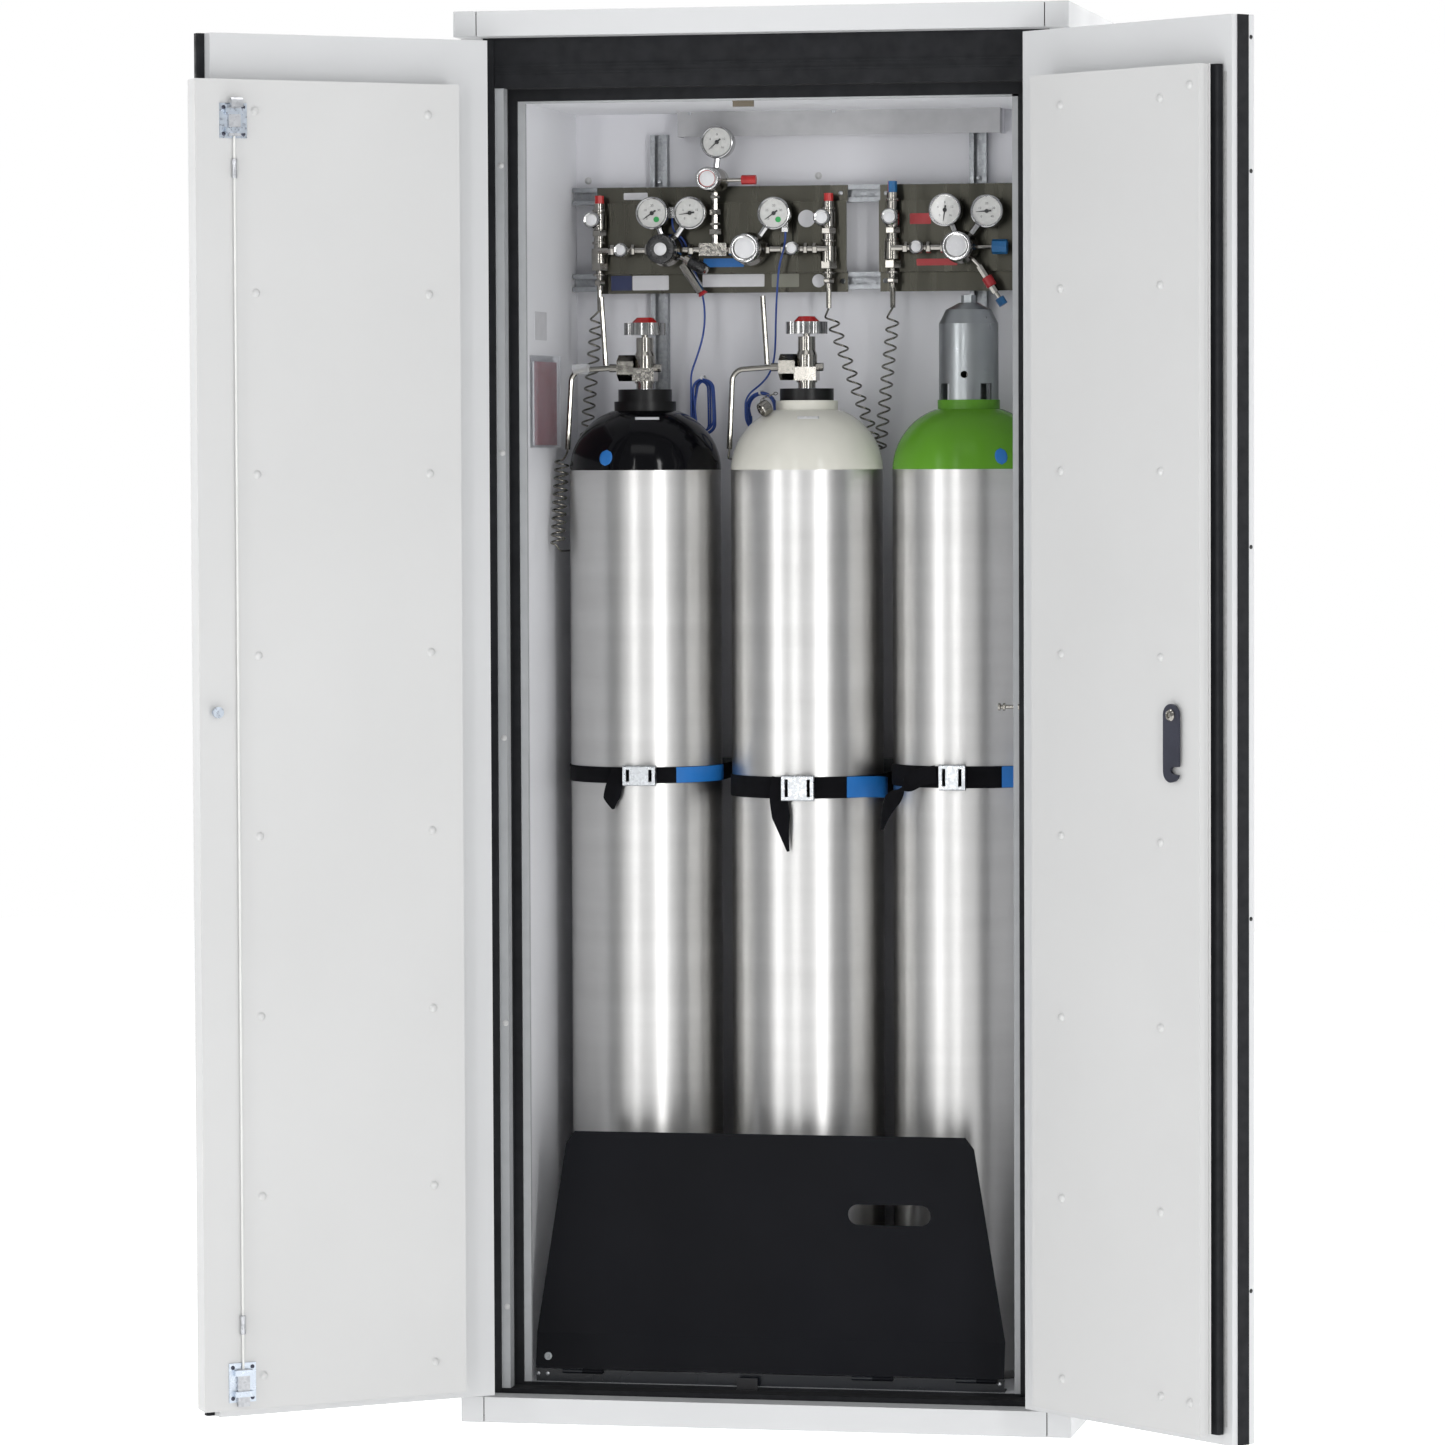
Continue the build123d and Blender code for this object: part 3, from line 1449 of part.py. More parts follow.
def right_seals():
    inner_x = (right_panel_end - inner_bulb_reach, right_panel_end + seal_pocket)
    inner_d = (leaf_d + meeting_gap, leaf_d + meeting_gap + inner_bulb_w)
    strip_x = (right_leaf_end - sheet, right_leaf_end)
    strip_y = into(end_strip_d, end_strip_d + end_strip_w)
    return [
        bulb(inner_x, inner_d, (panel_low, panel_high), -1),
        block(strip_x, strip_y, (leaf_low, leaf_high)),
    ]


def hinge_heights():
    return [share_z(share) for share in hinge_shares]


def hinge_leaves(side):
    """Outer knuckles of each hinge on a plate that lies on the door's face."""
    px, py, _ = pivot(side)
    leaves = []
    clear = barrel_r + 1.0 * hinge_plate / 2
    face_y = (front - hinge_plate, front)
    for z in hinge_heights():
        plate_x = (px - side * clear, px - side * (clear + hinge_plate_w))
        leaf = block(plate_x, face_y, (z - hinge_half, z + hinge_half))
        for low, high in ((z - hinge_half, z - knuckle_half - gap), (z + knuckle_half + gap, z + hinge_half)):
            leaf += rod((px, py, low), (px, py, high), barrel_r)
            leaf += block((px, px - side * clear), face_y, (low, high))
        leaves.append(leaf - rod((px, py, z - 2 * hinge_half), (px, py, z + 2 * hinge_half), hinge_pin_r + pin_fit))
    return leaves


def hinge_frame_plates():
    """Fixed middle knuckle, pin and cranked arm of each hinge, on the casing's front flange."""
    px, py, _ = pivot(-1)
    arm_in = -half + leaf_edge - arm_gap
    arm_x = (arm_in - hinge_plate, arm_in)
    reach_y = (py - hinge_plate / 2, py + hinge_plate / 2)
    flange_y = into(frame_d - sheet, frame_d)
    plates = []
    for z in hinge_heights():
        mid = (z - knuckle_half, z + knuckle_half)
        plate = rod((px, py, mid[0]), (px, py, mid[1]), barrel_r)
        plate += rod((px, py, z - hinge_half), (px, py, z + hinge_half), hinge_pin_r)
        plate += block((arm_x[0], px), reach_y, mid)
        plate += block(arm_x, (reach_y[0], flange_y[1]), mid)
        plate += block((arm_x[0], arm_x[0] + frame_plate_w), flange_y, (z - hinge_half, z + hinge_half))
        plates += pair(plate)
    return plates


def latch_housing(z):
    """Plate on the door's inner face with two bridges over the bolt."""
    x = (latch_x - latch_w / 2, latch_x + latch_w / 2)
    plate_d = panel_d + latch_plate
    bar_d = plate_d + 2 * bolt_set_off + bolt_thick
    housing = block(x, into(panel_d, plate_d), z)
    for share in bridge_shares:
        low = z[0] + share * (z[1] - z[0]) - bridge_high / 4
        reach = (latch_x - bridge_w / 2, latch_x + bridge_w / 2)
        bridge = block(reach, into(plate_d, bar_d + bridge_cover), (low, low + bridge_high))
        slot_x = (latch_x - bolt_w / 2 - bolt_set_off, latch_x + bolt_w / 2 + bolt_set_off)
        housing += bridge - block(slot_x, into(plate_d, bar_d), (low - overrun, low + bridge_high + overrun))
    return housing


def latch_housings():
    y = into(panel_d, panel_d + stud_long - stud_head, panel_d + stud_long)
    stud = rod((stud_x, y[0], lock_z), (stud_x, y[1], lock_z), stud_r)
    stud += rod((stud_x, y[1], lock_z), (stud_x, y[2], lock_z), stud_head_r)
    return [latch_housing(top_latch_z), latch_housing(bottom_latch_z), stud]


def bolt_span():
    near = panel_d + latch_plate + bolt_set_off
    return near, near + bolt_thick


def top_latch_bolt():
    """Cranked bar whose tongue rises behind the upper keeper."""
    near, far = bolt_span()
    low, high = top_bolt_z
    tip = high + tongue_rise
    tongue_far = tongue_d + tongue_thick
    crank = high - tongue_thick
    points = [
        (near, low), (far, low), (far, crank), (tongue_far, crank), (tongue_far, tip - tongue_bevel),
        (tongue_far - tongue_bevel, tip), (tongue_d, tip), (tongue_d, high), (near, high),
    ]
    section = make_face(Polyline(*[(front + d, z) for d, z in points], close=True))
    return [along_x(section, (latch_x - bolt_w / 2, latch_x + bolt_w / 2))]


def bottom_latch_bolt():
    return [block((latch_x - bolt_w / 2, latch_x + bolt_w / 2), into(*bolt_span()), bottom_bolt_z)]


def latch_cord():
    """Cord between the two bolts, with its two crimped ferrules."""
    near, far = bolt_span()
    y = front + (near + far) / 2
    pieces = [rod((latch_x, y, bottom_bolt_z[1] + gap), (latch_x, y, top_bolt_z[0] - gap), cord_r)]
    for low, high in (ferrule_low_z, ferrule_high_z):
        sleeve = rod((latch_x, y, low), (latch_x, y, high), ferrule_r)
        pieces.append(sleeve - rod((latch_x, y, low - overrun), (latch_x, y, high + overrun), cord_r))
    return pieces


def lock_hook():
    """Hook plate with a notch for the stud, on the spindle that runs through the leaf."""
    y = into(-spindle_out, panel_d + gap, hook_d, hook_d + hook_thick)
    mid_z = lock_z - hook_reach / 2
    plan = Pos(lock_x, mid_z) * Rot(0, 0, 90) * SlotCenterToCenter(hook_reach, 2 * hook_r)
    notch_z = lock_z - hook_reach
    plan -= rect((lock_x - hook_r - overrun, lock_x), (notch_z - notch_w / 2, notch_z + notch_w / 2))
    plan -= Pos(lock_x, notch_z) * Circle(notch_w / 2)
    hook = Pos(0, y[3], 0) * extrude(Plane.XZ * plan, hook_thick)
    hook += rod((lock_x, y[0], lock_z), (lock_x, y[2], lock_z), spindle_r)
    hook += rod((lock_x, y[1], lock_z), (lock_x, y[2], lock_z), spindle_flange_r)
    return [hook]


def door_handle():
    """Hub and hanging grip outside the right leaf."""
    y = into(-handle_hub_d, -gap, -handle_off)
    handle = rod((lock_x, y[0], lock_z), (lock_x, y[1], lock_z), handle_hub_r)
    end = lock_z - handle_long
    handle += rod((lock_x, y[2], end), (lock_x, y[2], lock_z), handle_grip_r)
    handle += Pos(lock_x, y[2], end) * Sphere(handle_grip_r)
    return [handle - rod((lock_x, front - spindle_out - gap, lock_z), (lock_x, front, lock_z), spindle_r + pin_fit)]


def build():
    os.makedirs("parts", exist_ok=True)
    fixed = {
        "outer_casing": outer_casing() + front_fascias(), "insulation_boards": insulation_boards(),
        "inner_liner": inner_liner(), "frame_seal": frame_seal(), "frame_trim": frame_trim(),
        "latch_keepers": latch_keepers(), "rear_wall": rear_board() + air_duct_cover(),
        "exhaust_spigot": exhaust_spigot(), "levelling_feet": levelling_feet(),
        "mounting_rails": mounting_rails(), "station_plates": station_plates(),
        "changeover_manifold": changeover_manifold(), "single_manifold": single_manifold(),
        "pressure_gauges": pressure_gauges(), "outlet_caps": outlet_caps(),
        "cylinder_left": [gas_cylinder(0)], "cylinder_middle": [gas_cylinder(1)],
        "cylinder_right": [gas_cylinder(2)], "cylinder_valves": cylinder_valves(), "neck_rings": neck_rings(),
        "valve_guard": valve_guard(), "cylinder_pigtails": cylinder_pigtails(), "pigtail_coils": pigtail_coils(),
        "signal_cables": signal_cables(),
        "cable_hank": [wound("hank", left_cable_route, hank_half, hank_low, hank_high, hank_loops)],
        "cable_ring": [wound("ring", right_cable_route, loop_half, loop_low, loop_high, loop_loops)],
        "straps": straps(), "strap_buckles": strap_buckles(), "document_pocket": document_pocket(),
        "ramp_base": ramp_base(), "hinge_frame_plates": hinge_frame_plates(),
    }
    left_door = {
        "left_door_shell": [leaf_shell(-1, left_leaf_end)], "left_door_panel": [left_panel()],
        "left_door_infill": [leaf_core(-1, left_leaf_end), left_infill(leaf_d)],
        "left_door_seals": left_seals(), "left_hinge_leaves": hinge_leaves(-1),
        "latch_housings": latch_housings(), "latch_cord": latch_cord(),
        "top_latch_bolt": top_latch_bolt(), "bottom_latch_bolt": bottom_latch_bolt(),
    }
    right_door = {
        "right_door_shell": [leaf_shell(1, right_leaf_end) - spindle_bore()],
        "right_door_panel": [right_panel() - spindle_bore()], "right_door_seals": right_seals(),
        "right_door_infill": [leaf_core(1, right_leaf_end) - spindle_bore(), right_infill(leaf_d) - spindle_bore()],
        "right_hinge_leaves": hinge_leaves(1), "lock_hook": lock_hook(), "door_handle": door_handle(),
    }
    moving = {
        "ramp_plate": [ramp_plate()], "handwheel_left": [handwheel(0)], "handwheel_middle": [handwheel(1)],
    }
    for name, shape in regulator_knobs().items():
        moving[f"regulator_knob_{name}"] = [shape]
    for name, shape in small_knobs(shutoff_x_shares, share_z(line_share), shutoff_knob_d, shutoff_knob_r).items():
        moving[f"shutoff_knob_{name}"] = [shape]
    for name, shape in small_knobs(purge_x_shares, share_z(purge_share), purge_knob_d, purge_knob_r).items():
        moving[f"purge_knob_{name}"] = [shape]
    for name, shapes in (fixed | moving).items():
        save(name, shapes)
    for name, shapes in left_door.items():
        save(name, swung(-1, shapes))
    for name, shapes in right_door.items():
        save(name, swung(1, shapes))


build()
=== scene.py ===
from math import cos, pi, radians, sin, sqrt

import bmesh
import bpy
from mathutils import Matrix, Vector


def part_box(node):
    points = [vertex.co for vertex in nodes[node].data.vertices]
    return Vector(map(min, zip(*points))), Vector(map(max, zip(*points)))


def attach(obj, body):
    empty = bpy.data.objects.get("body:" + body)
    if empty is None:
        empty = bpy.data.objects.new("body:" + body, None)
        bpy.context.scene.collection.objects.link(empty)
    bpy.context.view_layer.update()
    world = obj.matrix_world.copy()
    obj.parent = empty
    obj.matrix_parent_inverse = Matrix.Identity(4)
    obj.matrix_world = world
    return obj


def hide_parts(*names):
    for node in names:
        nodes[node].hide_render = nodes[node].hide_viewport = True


# Gas cylinder cabinet, dressed for the render. Places are written as (X, depth behind the front plane, Z)
# in millimetres, as in the part's source, and turned into metres by at().

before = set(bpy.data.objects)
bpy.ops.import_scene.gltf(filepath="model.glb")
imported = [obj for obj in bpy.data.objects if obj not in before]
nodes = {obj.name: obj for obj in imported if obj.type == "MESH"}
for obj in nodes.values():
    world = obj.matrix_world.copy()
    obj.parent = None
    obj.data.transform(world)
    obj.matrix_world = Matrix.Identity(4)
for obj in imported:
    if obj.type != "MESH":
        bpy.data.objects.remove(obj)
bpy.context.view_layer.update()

front = -308.5
axis_x, axis_y, axis_z = Vector((1, 0, 0)), Vector((0, 1, 0)), Vector((0, 0, 1))


def at(x, d, z):
    return Vector((x, d + front, z)) / 1000


def placed(name, data):
    """A new object in the scene."""
    made = bpy.data.objects.new(name, data)
    bpy.context.scene.collection.objects.link(made)
    return made


# Places and sizes that more than one piece uses, in millimetres

bottles_x = (-232.0, 13.0, 256.0)
bottle_d = -front
plate_d, raised_d = 438, 426
line_z, line_regulator_x = 1716.1, -143.0
column_d, columns_x = 410, (-322.7, 28.2, 125.4)
wire_r = 1.5

# Planes where a node's colour changes, in metres

shoulder_low, neck_low, upper_ring_low, red_cap_low = 1.3862, 1.4746, 1.4885, 1.6052
between_bottles = (-0.11, 0.13)


# Camera

camera = placed("camera", bpy.data.cameras.new("camera"))
yaw, pitch, roll = (radians(angle) for angle in (11.2, -2.51, -0.23))
ahead = Vector((-sin(yaw) * cos(pitch), cos(yaw) * cos(pitch), sin(pitch)))
level = ahead.cross(axis_z).normalized()
upright = level.cross(ahead)
right = cos(roll) * level + sin(roll) * upright
up = cos(roll) * upright - sin(roll) * level
camera.matrix_world = Matrix.Translation((1.680, -9.073, 1.415)) @ Matrix((right, up, -ahead)).transposed().to_4x4()
camera.data.sensor_width = 36
camera.data.lens = 154.7
camera.data.clip_end = 100
bpy.context.scene.camera = camera
bpy.context.scene.view_settings.view_transform = "Standard"


# Materials


class Shade:
    """A procedural material while it is being made."""

    def __init__(self, name, roughness, metallic=0.0, **sockets):
        self.material = bpy.data.materials.new(name)
        self.material.use_nodes = True
        self.tree = self.material.node_tree
        self.shader = self.tree.nodes["Principled BSDF"]
        self.place = self.node("ShaderNodeTexCoord").outputs["Object"]
        for socket, value in {"Roughness": roughness, "Metallic": metallic, **sockets}.items():
            self.shader.inputs[socket.replace("_", " ")].default_value = value
        self.split = None

    def node(self, kind, sockets=(), **settings):
        """A new node with its settings made first and its sockets fed after them."""
        made = self.tree.nodes.new(kind)
        for setting, value in settings.items():
            setattr(made, setting, value)
        for socket, value in dict(sockets).items():
            self.feed(made, socket, value)
        return made

    def feed(self, made, socket, value):
        """Set a socket, or link it where the value is another node's output."""
        if isinstance(value, bpy.types.NodeSocket):
            self.tree.links.new(value, made.inputs[socket])
        elif isinstance(value, tuple) and len(value) == 3 and made.inputs[socket].type == "RGBA":
            made.inputs[socket].default_value = (*value, 1)
        else:
            made.inputs[socket].default_value = value

    def math(self, operation, a, b=0.0):
        return self.node("ShaderNodeMath", {0: a, 1: b}, operation=operation).outputs[0]

    def noise(self, scale, stretch=(1, 1, 1), detail=3.0):
        """Noise from 0 to 1, features about 1/scale metres in size, drawn out along an axis of low stretch."""
        mapping = self.node("ShaderNodeMapping", {"Vector": self.place, "Scale": stretch})
        sockets = {"Vector": mapping.outputs[0], "Scale": scale, "Detail": detail}
        return self.node("ShaderNodeTexNoise", sockets).outputs["Fac"]

    def spread(self, fac, low, high, start=0.3, end=0.7):
        sockets = {"Value": fac, "From Min": start, "From Max": end, "To Min": low, "To Max": high}
        return self.node("ShaderNodeMapRange", sockets).outputs[0]

    def mix(self, fac, a, b):
        return self.node("ShaderNodeMix", {0: fac, 6: a, 7: b}, data_type="RGBA").outputs[2]

    def clouded(self, colour, share, scale, detail=3.0):
        """A colour that drifts in soft clouds towards a darker shade of itself."""
        return self.mix(self.spread(self.noise(scale, detail=detail), 0, 1), darker(colour, share), colour)

    def coordinate(self, axis):
        if self.split is None:
            self.split = self.node("ShaderNodeSeparateXYZ", {0: self.place})
        return self.split.outputs[axis]

    def above(self, axis, limit):
        """1 where the row-frame coordinate is above the limit in metres, and 0 elsewhere."""
        return self.math("GREATER_THAN", self.coordinate(axis), limit)

    def beyond(self, x, z, radius):
        """1 outside a circle, in millimetres, about a line that runs from front to back."""
        dx = self.math("SUBTRACT", self.coordinate("X"), x / 1000)
        dz = self.math("SUBTRACT", self.coordinate("Z"), z / 1000)
        squares = self.math("ADD", self.math("MULTIPLY", dx, dx), self.math("MULTIPLY", dz, dz))
        return self.math("GREATER_THAN", squares, (radius / 1000) ** 2)

    def colour(self, value):
        self.feed(self.shader, "Base Color", value)

    def rough(self, fac, low, high, *ends):
        self.feed(self.shader, "Roughness", self.spread(fac, low, high, *ends))

    def bump(self, height, strength, distance):
        """Give the surface its relief, which is the last step, and return the material."""
        made = self.node("ShaderNodeBump", {"Height": height, "Strength": strength, "Distance": distance})
        self.feed(self.shader, "Normal", made.outputs[0])
        return self.material


def darker(colour, share):
    return tuple(part * share for part in colour)


def paint(name, colour, roughness, vary=0.965, texture=420.0, relief=0.12, **sockets):
    """Sprayed paint: faint clouds of tone, orange peel and a few duller spots."""
    made = Shade(name, roughness, **sockets)
    made.colour(made.clouded(colour, vary, 3.2))
    made.rough(made.noise(9.0), roughness - 0.05, roughness + 0.07)
    return made.bump(made.noise(texture, detail=2.0), relief, 0.0004)


def metal(name, colour, roughness, vary=0.8, grain=240.0, stretch=(1, 1, 1), relief=0.004):
    """Bare or plated metal with a fine grain and uneven polish."""
    made = Shade(name, roughness, 1.0)
    made.colour(made.clouded(colour, vary, 14.0))
    made.rough(made.noise(grain, stretch), roughness - 0.07, roughness + 0.1)
    return made.bump(made.noise(grain, stretch), relief, 0.0002)


def galvanised(name, light, dark):
    """Zinc-plated steel: small crystals of slightly different tone and gloss."""
    roughness = 0.4
    made = Shade(name, roughness, 0.9)
    cells = made.node("ShaderNodeTexVoronoi", {"Vector": made.place, "Scale": 260.0})
    tone = made.node("ShaderNodeSeparateColor", {0: cells.outputs["Color"]})
    made.colour(made.mix(tone.outputs[0], dark, light))
    made.rough(tone.outputs[1], roughness - 0.1, roughness + 0.12, 0, 1)
    return made.bump(made.noise(180.0), 0.06, 0.0003)


def plastic(name, colour, roughness, vary=0.92, **sockets):
    """Moulded plastic with a fine spark-eroded texture."""
    made = Shade(name, roughness, **sockets)
    made.colour(made.clouded(colour, vary, 40.0))
    made.rough(made.noise(120.0), roughness - 0.05, roughness + 0.08)
    return made.bump(made.noise(900.0), 0.1, 0.0002)


def rubber(name, colour):
    """Extruded rubber: matt, dusty in places, with a fine grain."""
    made = Shade(name, 0.62, Specular_IOR_Level=0.22)
    made.colour(made.mix(made.spread(made.noise(26.0), 0, 1), colour, tuple(part * 1.5 + 0.002 for part in colour)))
    made.rough(made.noise(60.0), 0.5, 0.75)
    return made.bump(made.noise(700.0), 0.25, 0.0004)


def brushed_cylinder(name, shoulder, gloss):
    """Silver cylinder wall with faint turning marks, a coloured shoulder above it and a bare metal neck."""
    made = Shade(name, 0.3, Anisotropic=0.7, Anisotropic_Rotation=0.25, Specular_IOR_Level=0.16)
    tangent = made.node("ShaderNodeTangent", direction_type="RADIAL", axis="Z")
    made.feed(made.shader, "Tangent", tangent.outputs[0])
    on_shoulder = made.above("Z", shoulder_low)
    on_neck = made.above("Z", neck_low)
    wall = made.mix(made.spread(made.noise(3.0, (1, 1, 9)), 0, 1), (0.60, 0.595, 0.585), (0.65, 0.645, 0.635))
    painted = made.clouded(shoulder, 0.9, 12.0)
    neck = made.mix(made.noise(60.0), (0.45, 0.45, 0.46), (0.62, 0.62, 0.62))
    made.colour(made.mix(on_neck, made.mix(on_shoulder, wall, painted), neck))
    bare = made.math("SUBTRACT", 1.0, on_shoulder)
    made.feed(made.shader, "Metallic", made.math("MAXIMUM", bare, on_neck))
    wall_rough = made.spread(made.noise(40.0, (0.3, 0.3, 12)), 0.385, 0.40)
    roughness = made.math("ADD", made.math("MULTIPLY", wall_rough, bare), made.math("MULTIPLY", on_shoulder, gloss))
    made.feed(made.shader, "Roughness", roughness)
    return made.material


def by_place(name, roughness, metallic, base, axis, limit, tone):
    """One material whose colour changes to tone above the limit, in metres, along an axis."""
    made = Shade(name, roughness, metallic)
    below = made.clouded(base, 0.88, 40.0)
    made.colour(made.mix(made.above(axis, limit), below, tone))
    made.rough(made.noise(90.0), roughness - 0.05, roughness + 0.08)
    return made.bump(made.noise(300.0), 0.06, 0.0002)


def ring_colours():
    """Neck rings: black at the left, cream under black in the middle, green at the right."""
    made = Shade("neck_ring_paint", 0.35, Specular_IOR_Level=0.25)
    middle = made.above("X", between_bottles[0])
    far_right = made.above("X", between_bottles[1])
    upper = made.above("Z", upper_ring_low)
    black = made.mix(made.noise(60.0), (0.003, 0.003, 0.003), (0.010, 0.010, 0.011))
    cream = made.mix(made.noise(60.0), (0.58, 0.57, 0.51), (0.63, 0.62, 0.56))
    green = made.mix(made.noise(60.0), (0.08, 0.23, 0.018), (0.10, 0.28, 0.022))
    lower = made.mix(far_right, made.mix(middle, black, cream), green)
    made.colour(made.mix(upper, lower, black))
    return made.bump(made.noise(200.0), 0.08, 0.0003)


def knob_finish(name, x, z, inner, middle):
    """Knob with a light cap inside a plated rim, and a ring between them where one is given."""
    made = Shade(name, 0.28)
    outside = made.beyond(x, z, inner)
    cap = made.clouded((0.82, 0.82, 0.80), 0.93, 50.0)
    rim = made.clouded((0.62, 0.62, 0.63), 0.85, 70.0)
    metallic = outside
    if middle is not None:
        radius, tone = middle
        metallic = made.beyond(x, z, radius)
        rim = made.mix(metallic, tone, rim)
    made.colour(made.mix(outside, cap, rim))
    made.feed(made.shader, "Metallic", metallic)
    made.rough(made.noise(120.0), 0.2, 0.36)
    return made.bump(made.noise(400.0), 0.05, 0.0002)


def webbing(name, colour):
    """Woven belt: crossed waves for the weave, and a few paler worn threads."""
    made = Shade(name, 0.72, Sheen_Weight=0.01, Sheen_Roughness=0.5, Specular_IOR_Level=0.08)
    across, along = (
        made.math("SINE", made.math("MULTIPLY", made.coordinate(axis), 2 * pi / thread))
        for axis, thread in (("Z", 0.0016), ("X", 0.00256))
    )
    worn = made.spread(made.noise(55.0), 0, 0.5)
    made.colour(made.mix(worn, colour, tuple(part * 2 + 0.001 for part in colour)))
    return made.bump(made.math("MULTIPLY", across, along), 0.5, 0.0006)


def steel_plate(name):
    """Satin stainless sheet whose colour runs in soft upright bands between two dark tones, a painted reflection of
    its surroundings.
    """
    made = Shade(name, 0.26, 1.0)
    # Painted reflection: soft upright bands of darker and lighter colour
    painted_reflection_streaks = made.spread(made.noise(9.0, (1, 1, 0.1), 2.0), 0, 1, 0.25, 0.75)
    made.colour(made.mix(painted_reflection_streaks, (0.028, 0.0275, 0.022), (0.075, 0.072, 0.060)))
    made.rough(made.noise(60.0, (1, 1, 0.05)), 0.24, 0.34)
    return made.bump(made.noise(500.0, (1, 1, 0.02)), 0.02, 0.0001)


def board(name, colour):
    """Mineral board with a speckled cut face."""
    made = Shade(name, 0.85)
    made.colour(made.clouded(colour, 0.82, 160.0, 6.0))
    return made.bump(made.noise(220.0, detail=6.0), 0.3, 0.0008)


def clear(name, colour, roughness, alpha):
    """Clear plastic film, thin enough to see through without bending the light."""
    made = Shade(name, roughness, Alpha=alpha)
    made.colour(made.mix(made.noise(30.0), darker(colour, 0.95), colour))
    made.rough(made.noise(25.0), roughness - 0.04, roughness + 0.1)
    return made.bump(made.noise(35.0), 0.08, 0.001)


casing = paint("casing_white", (0.60, 0.605, 0.61), 0.4)
door_outside = paint("door_outside_white", (0.60, 0.605, 0.61), 0.4)
door_inside = paint("door_inside_white", (0.57, 0.57, 0.565), 0.46)
liner = paint("liner_white", (0.84, 0.845, 0.87), 0.5, vary=0.96)
rear_panel = by_place("rear_panel_white", 0.5, 0.0, (0.42, 0.42, 0.43), "Y", 0.145, (0.68, 0.68, 0.71))
board_edge = by_place("board_edge", 0.75, 0.0, (0.006, 0.0065, 0.008), "Y", -0.2195, (0.62, 0.60, 0.56))
keeper_plating = by_place("keeper_plating", 0.4, 0.5, (0.02, 0.02, 0.022), "Z", 1.0, (0.13, 0.11, 0.08))
infill_white = board("infill_white", (0.58, 0.58, 0.575))
black_rubber = rubber("black_rubber", (0.006, 0.0065, 0.008))
zinc = galvanised("zinc_plate", (0.56, 0.57, 0.59), (0.44, 0.45, 0.47))
buckle_zinc = metal("buckle_zinc", (0.50, 0.52, 0.54), 0.27, vary=0.9, relief=0.02)
rail_zinc = galvanised("rail_zinc", (0.33, 0.345, 0.36), (0.27, 0.28, 0.295))
blue_zinc = metal("blued_zinc", (0.62, 0.68, 0.76), 0.3, vary=0.9, relief=0.02)
stainless = steel_plate("satin_stainless")
nickel = metal("nickel_plate", (0.37, 0.355, 0.325), 0.14, vary=0.85)
chrome = metal("chrome_plate", (0.42, 0.42, 0.42), 0.11, vary=0.9, grain=90.0, relief=0.003)
pipe_metal = metal("pipe_metal", (0.27, 0.26, 0.235), 0.18, vary=0.9, grain=90.0, relief=0.003)
coil_metal = metal("coil_metal", (0.24, 0.23, 0.20), 0.2, grain=500.0)
guard_zinc = metal("guard_zinc", (0.34, 0.36, 0.37), 0.34, vary=0.88, grain=60.0, stretch=(1, 1, 0.3), relief=0.04)
ramp_black = paint(
    "ramp_black", (0.0035, 0.004, 0.0065), 0.42, vary=0.6, texture=900.0, relief=0.1, Specular_IOR_Level=0.1,
)
base_black = paint(
    "ramp_base_black", (0.007, 0.009, 0.013), 0.28, vary=0.7, texture=900.0, relief=0.05, Specular_IOR_Level=0.35,
)
handle_black = plastic("handle_black", (0.014, 0.014, 0.016), 0.4)
hook_slate = metal("hook_slate", (0.085, 0.088, 0.115), 0.4, relief=0.02)
belt_black = webbing("belt_black", (0.0025, 0.0025, 0.0035))
white_paper = plastic("white_label", (0.64, 0.64, 0.66), 0.5)
white_plastic = plastic("white_plastic", (0.57, 0.57, 0.565), 0.4)
blue_print = plastic("blue_label", (0.012, 0.15, 0.47), 0.45)
navy_print = plastic("navy_label", (0.012, 0.022, 0.09), 0.45)
dim_print = plastic("dim_label", (0.20, 0.20, 0.16), 0.45)
red_plastic = plastic("red_plastic", (0.42, 0.016, 0.022), 0.4)
blue_plastic = plastic("blue_plastic", (0.012, 0.07, 0.30), 0.35)
green_print = plastic("green_patch", (0.02, 0.35, 0.08), 0.5)
booklet_red = plastic("booklet_cover", (0.20, 0.014, 0.024), 0.4)
cable_blue = plastic("cable_blue", (0.010, 0.05, 0.26), 0.4)
cord_white = plastic("cord_white", (0.72, 0.72, 0.70), 0.6)
dial_white = plastic("dial_white", (0.56, 0.56, 0.54), 0.25, vary=0.98, Coat_Weight=0.6)
dial_black = plastic("dial_black", (0.012, 0.012, 0.012), 0.4)
cap_white = plastic("cap_white", (0.66, 0.66, 0.67), 0.22, vary=0.98)
rim_black = plastic("rim_black", (0.010, 0.010, 0.011), 0.25)
clear_plastic = clear("clear_plastic", (0.86, 0.88, 0.90), 0.12, 0.3)
pocket_clear = clear("pocket_clear", (0.70, 0.72, 0.78), 0.1, 0.14)
cap_tones = by_place("outlet_cap_plastic", 0.38, 0.0, (0.46, 0.018, 0.018), "X", 0.12, (0.012, 0.12, 0.30))


def wheel_finish():
    """Plated hand wheel with a red cap on top."""
    made = Shade("handwheel_finish", 0.14)
    on_cap = made.above("Z", red_cap_low)
    plated = made.mix(made.spread(made.noise(60.0), 0, 1), (0.30, 0.30, 0.30), (0.42, 0.42, 0.41))
    made.colour(made.mix(on_cap, plated, (0.36, 0.008, 0.008)))
    made.feed(made.shader, "Metallic", made.math("SUBTRACT", 1.0, on_cap))
    made.rough(made.noise(50.0), 0.1, 0.22)
    return made.bump(made.noise(120.0), 0.03, 0.0002)


trim_strip = plastic("trim_strip", (0.40, 0.41, 0.42), 0.45)

